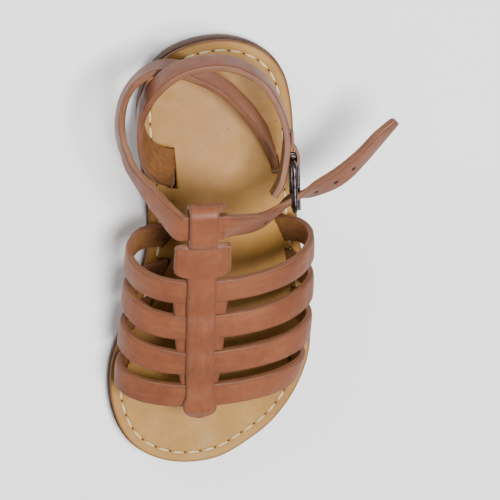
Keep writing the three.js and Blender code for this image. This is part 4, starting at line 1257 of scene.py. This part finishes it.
def make_buckle():
    half = FRAME_HEIGHT / 2 - WIRE
    corner = FRAME_CORNER - WIRE
    far = FRAME_REACH - corner
    quarter = math.pi / 2
    flat = []
    for x, y, start in ((far, corner - half, -quarter), (far, half - corner, 0),
                        (corner, half - corner, quarter), (corner, corner - half, 2 * quarter)):
        flat += arc(Vector((x, y)), corner, start, start + quarter, 12)
    ring = [frame_place(p.x, 0, p.y) for p in spaced(flat + [flat[0]], 120)[:-1]]
    piece = rod("buckle_ring", ring, lambda share: circle(WIRE, 16), METAL, True)
    hold(piece, "buckle_metal", "buckle_frame")

    around = WIRE + BUCKLE_GAP + PRONG
    line = arc(Vector((0, 0)), around, -math.radians(PRONG_CURL) / 2, -1.5 * math.pi, 40)
    line += [Vector((FRAME_REACH * share, around)) for share in (0.3, 0.6, 0.85)]
    line.append(Vector((FRAME_REACH + WIRE, around)))
    prong = [frame_place(p.x, p.y, 0) for p in spaced(line, 60)]
    piece = rod("buckle_tongue", prong, lambda share: circle(PRONG * (1 - 0.25 * share), 12), METAL)
    hold(piece, "buckle_metal", "buckle_prong")


# Camera: the photograph's angle, rolled so that the heel is at the top
VIEW_BACK = Vector((-0.134, 0.241, 0.961)).normalized()
VIEW_UP = Vector((0.0333, 0.9705, -0.2386))
VIEW_UP = (VIEW_UP - VIEW_BACK * VIEW_UP.dot(VIEW_BACK)).normalized()
VIEW_RIGHT = VIEW_UP.cross(VIEW_BACK)
VIEW_DISTANCE = 1100.0
VIEW_SIDE = 162.0
VIEW_TARGET = VIEW_RIGHT * 14.5 - VIEW_UP * 1.2 + VIEW_BACK * 20
SENSOR = 36.0


def make_camera():
    data = bpy.data.cameras.new("camera")
    data.sensor_width = SENSOR
    data.lens = SENSOR * VIEW_DISTANCE / VIEW_SIDE
    data.clip_end = 20
    camera = bpy.data.objects.new("camera", data)
    turned = Matrix((VIEW_RIGHT, VIEW_UP, VIEW_BACK)).transposed().to_4x4()
    place = placed(VIEW_TARGET + VIEW_BACK * VIEW_DISTANCE)
    camera.matrix_world = Matrix.Translation(place) @ turned
    bpy.context.scene.collection.objects.link(camera)
    bpy.context.scene.camera = camera


# Lights in metres and watts; the key stands over the outer side
STUDIO_MIDDLE = (0, -0.05, 0.02)


def area_light(name, place, aim, size, power):
    data = bpy.data.lights.new(name, "AREA")
    data.shape = "DISK"
    data.size = size
    data.energy = power
    light = bpy.data.objects.new(name, data)
    turned = (Vector(place) - Vector(aim)).to_track_quat("Z", "Y").to_matrix().to_4x4()
    light.matrix_world = Matrix.Translation(place) @ turned
    bpy.context.scene.collection.objects.link(light)


def make_studio():
    bpy.ops.mesh.primitive_plane_add(size=6)
    floor = bpy.context.object
    floor.name = "floor"
    paper = Finish("pale floor", 0.9)
    shade = paper.ramp(paper.mottle(paper.place, 60), (0.0, 0.86), (1.0, 0.9))
    floor.data.materials.append(paper.done(shade))
    area_light("key", (0.16, 0.02, 1.25), STUDIO_MIDDLE, 0.45, 34)
    area_light("fill", (-0.8, 0.7, 0.8), STUDIO_MIDDLE, 0.8, 6)
    world = bpy.data.worlds.new("studio")
    world.use_nodes = True
    background = world.node_tree.nodes["Background"].inputs
    background["Color"].default_value = (1.0, 0.98, 0.95, 1)
    background["Strength"].default_value = 0.3
    bpy.context.scene.world = world


make_camera()
make_studio()
make_upper()
make_ankle_strap()
make_heel_strap()
make_buckle()
make_sole()
make_stitches()
rounded_copy("heel_lift", "heel_lift_rubber", LIFT_FINISH, LIFT_ROUND, "heel_rubber")
rounded_copy("forefoot_pad", "forefoot_pad_rubber", PAD_FINISH, PAD_ROUND, "pad_rubber")
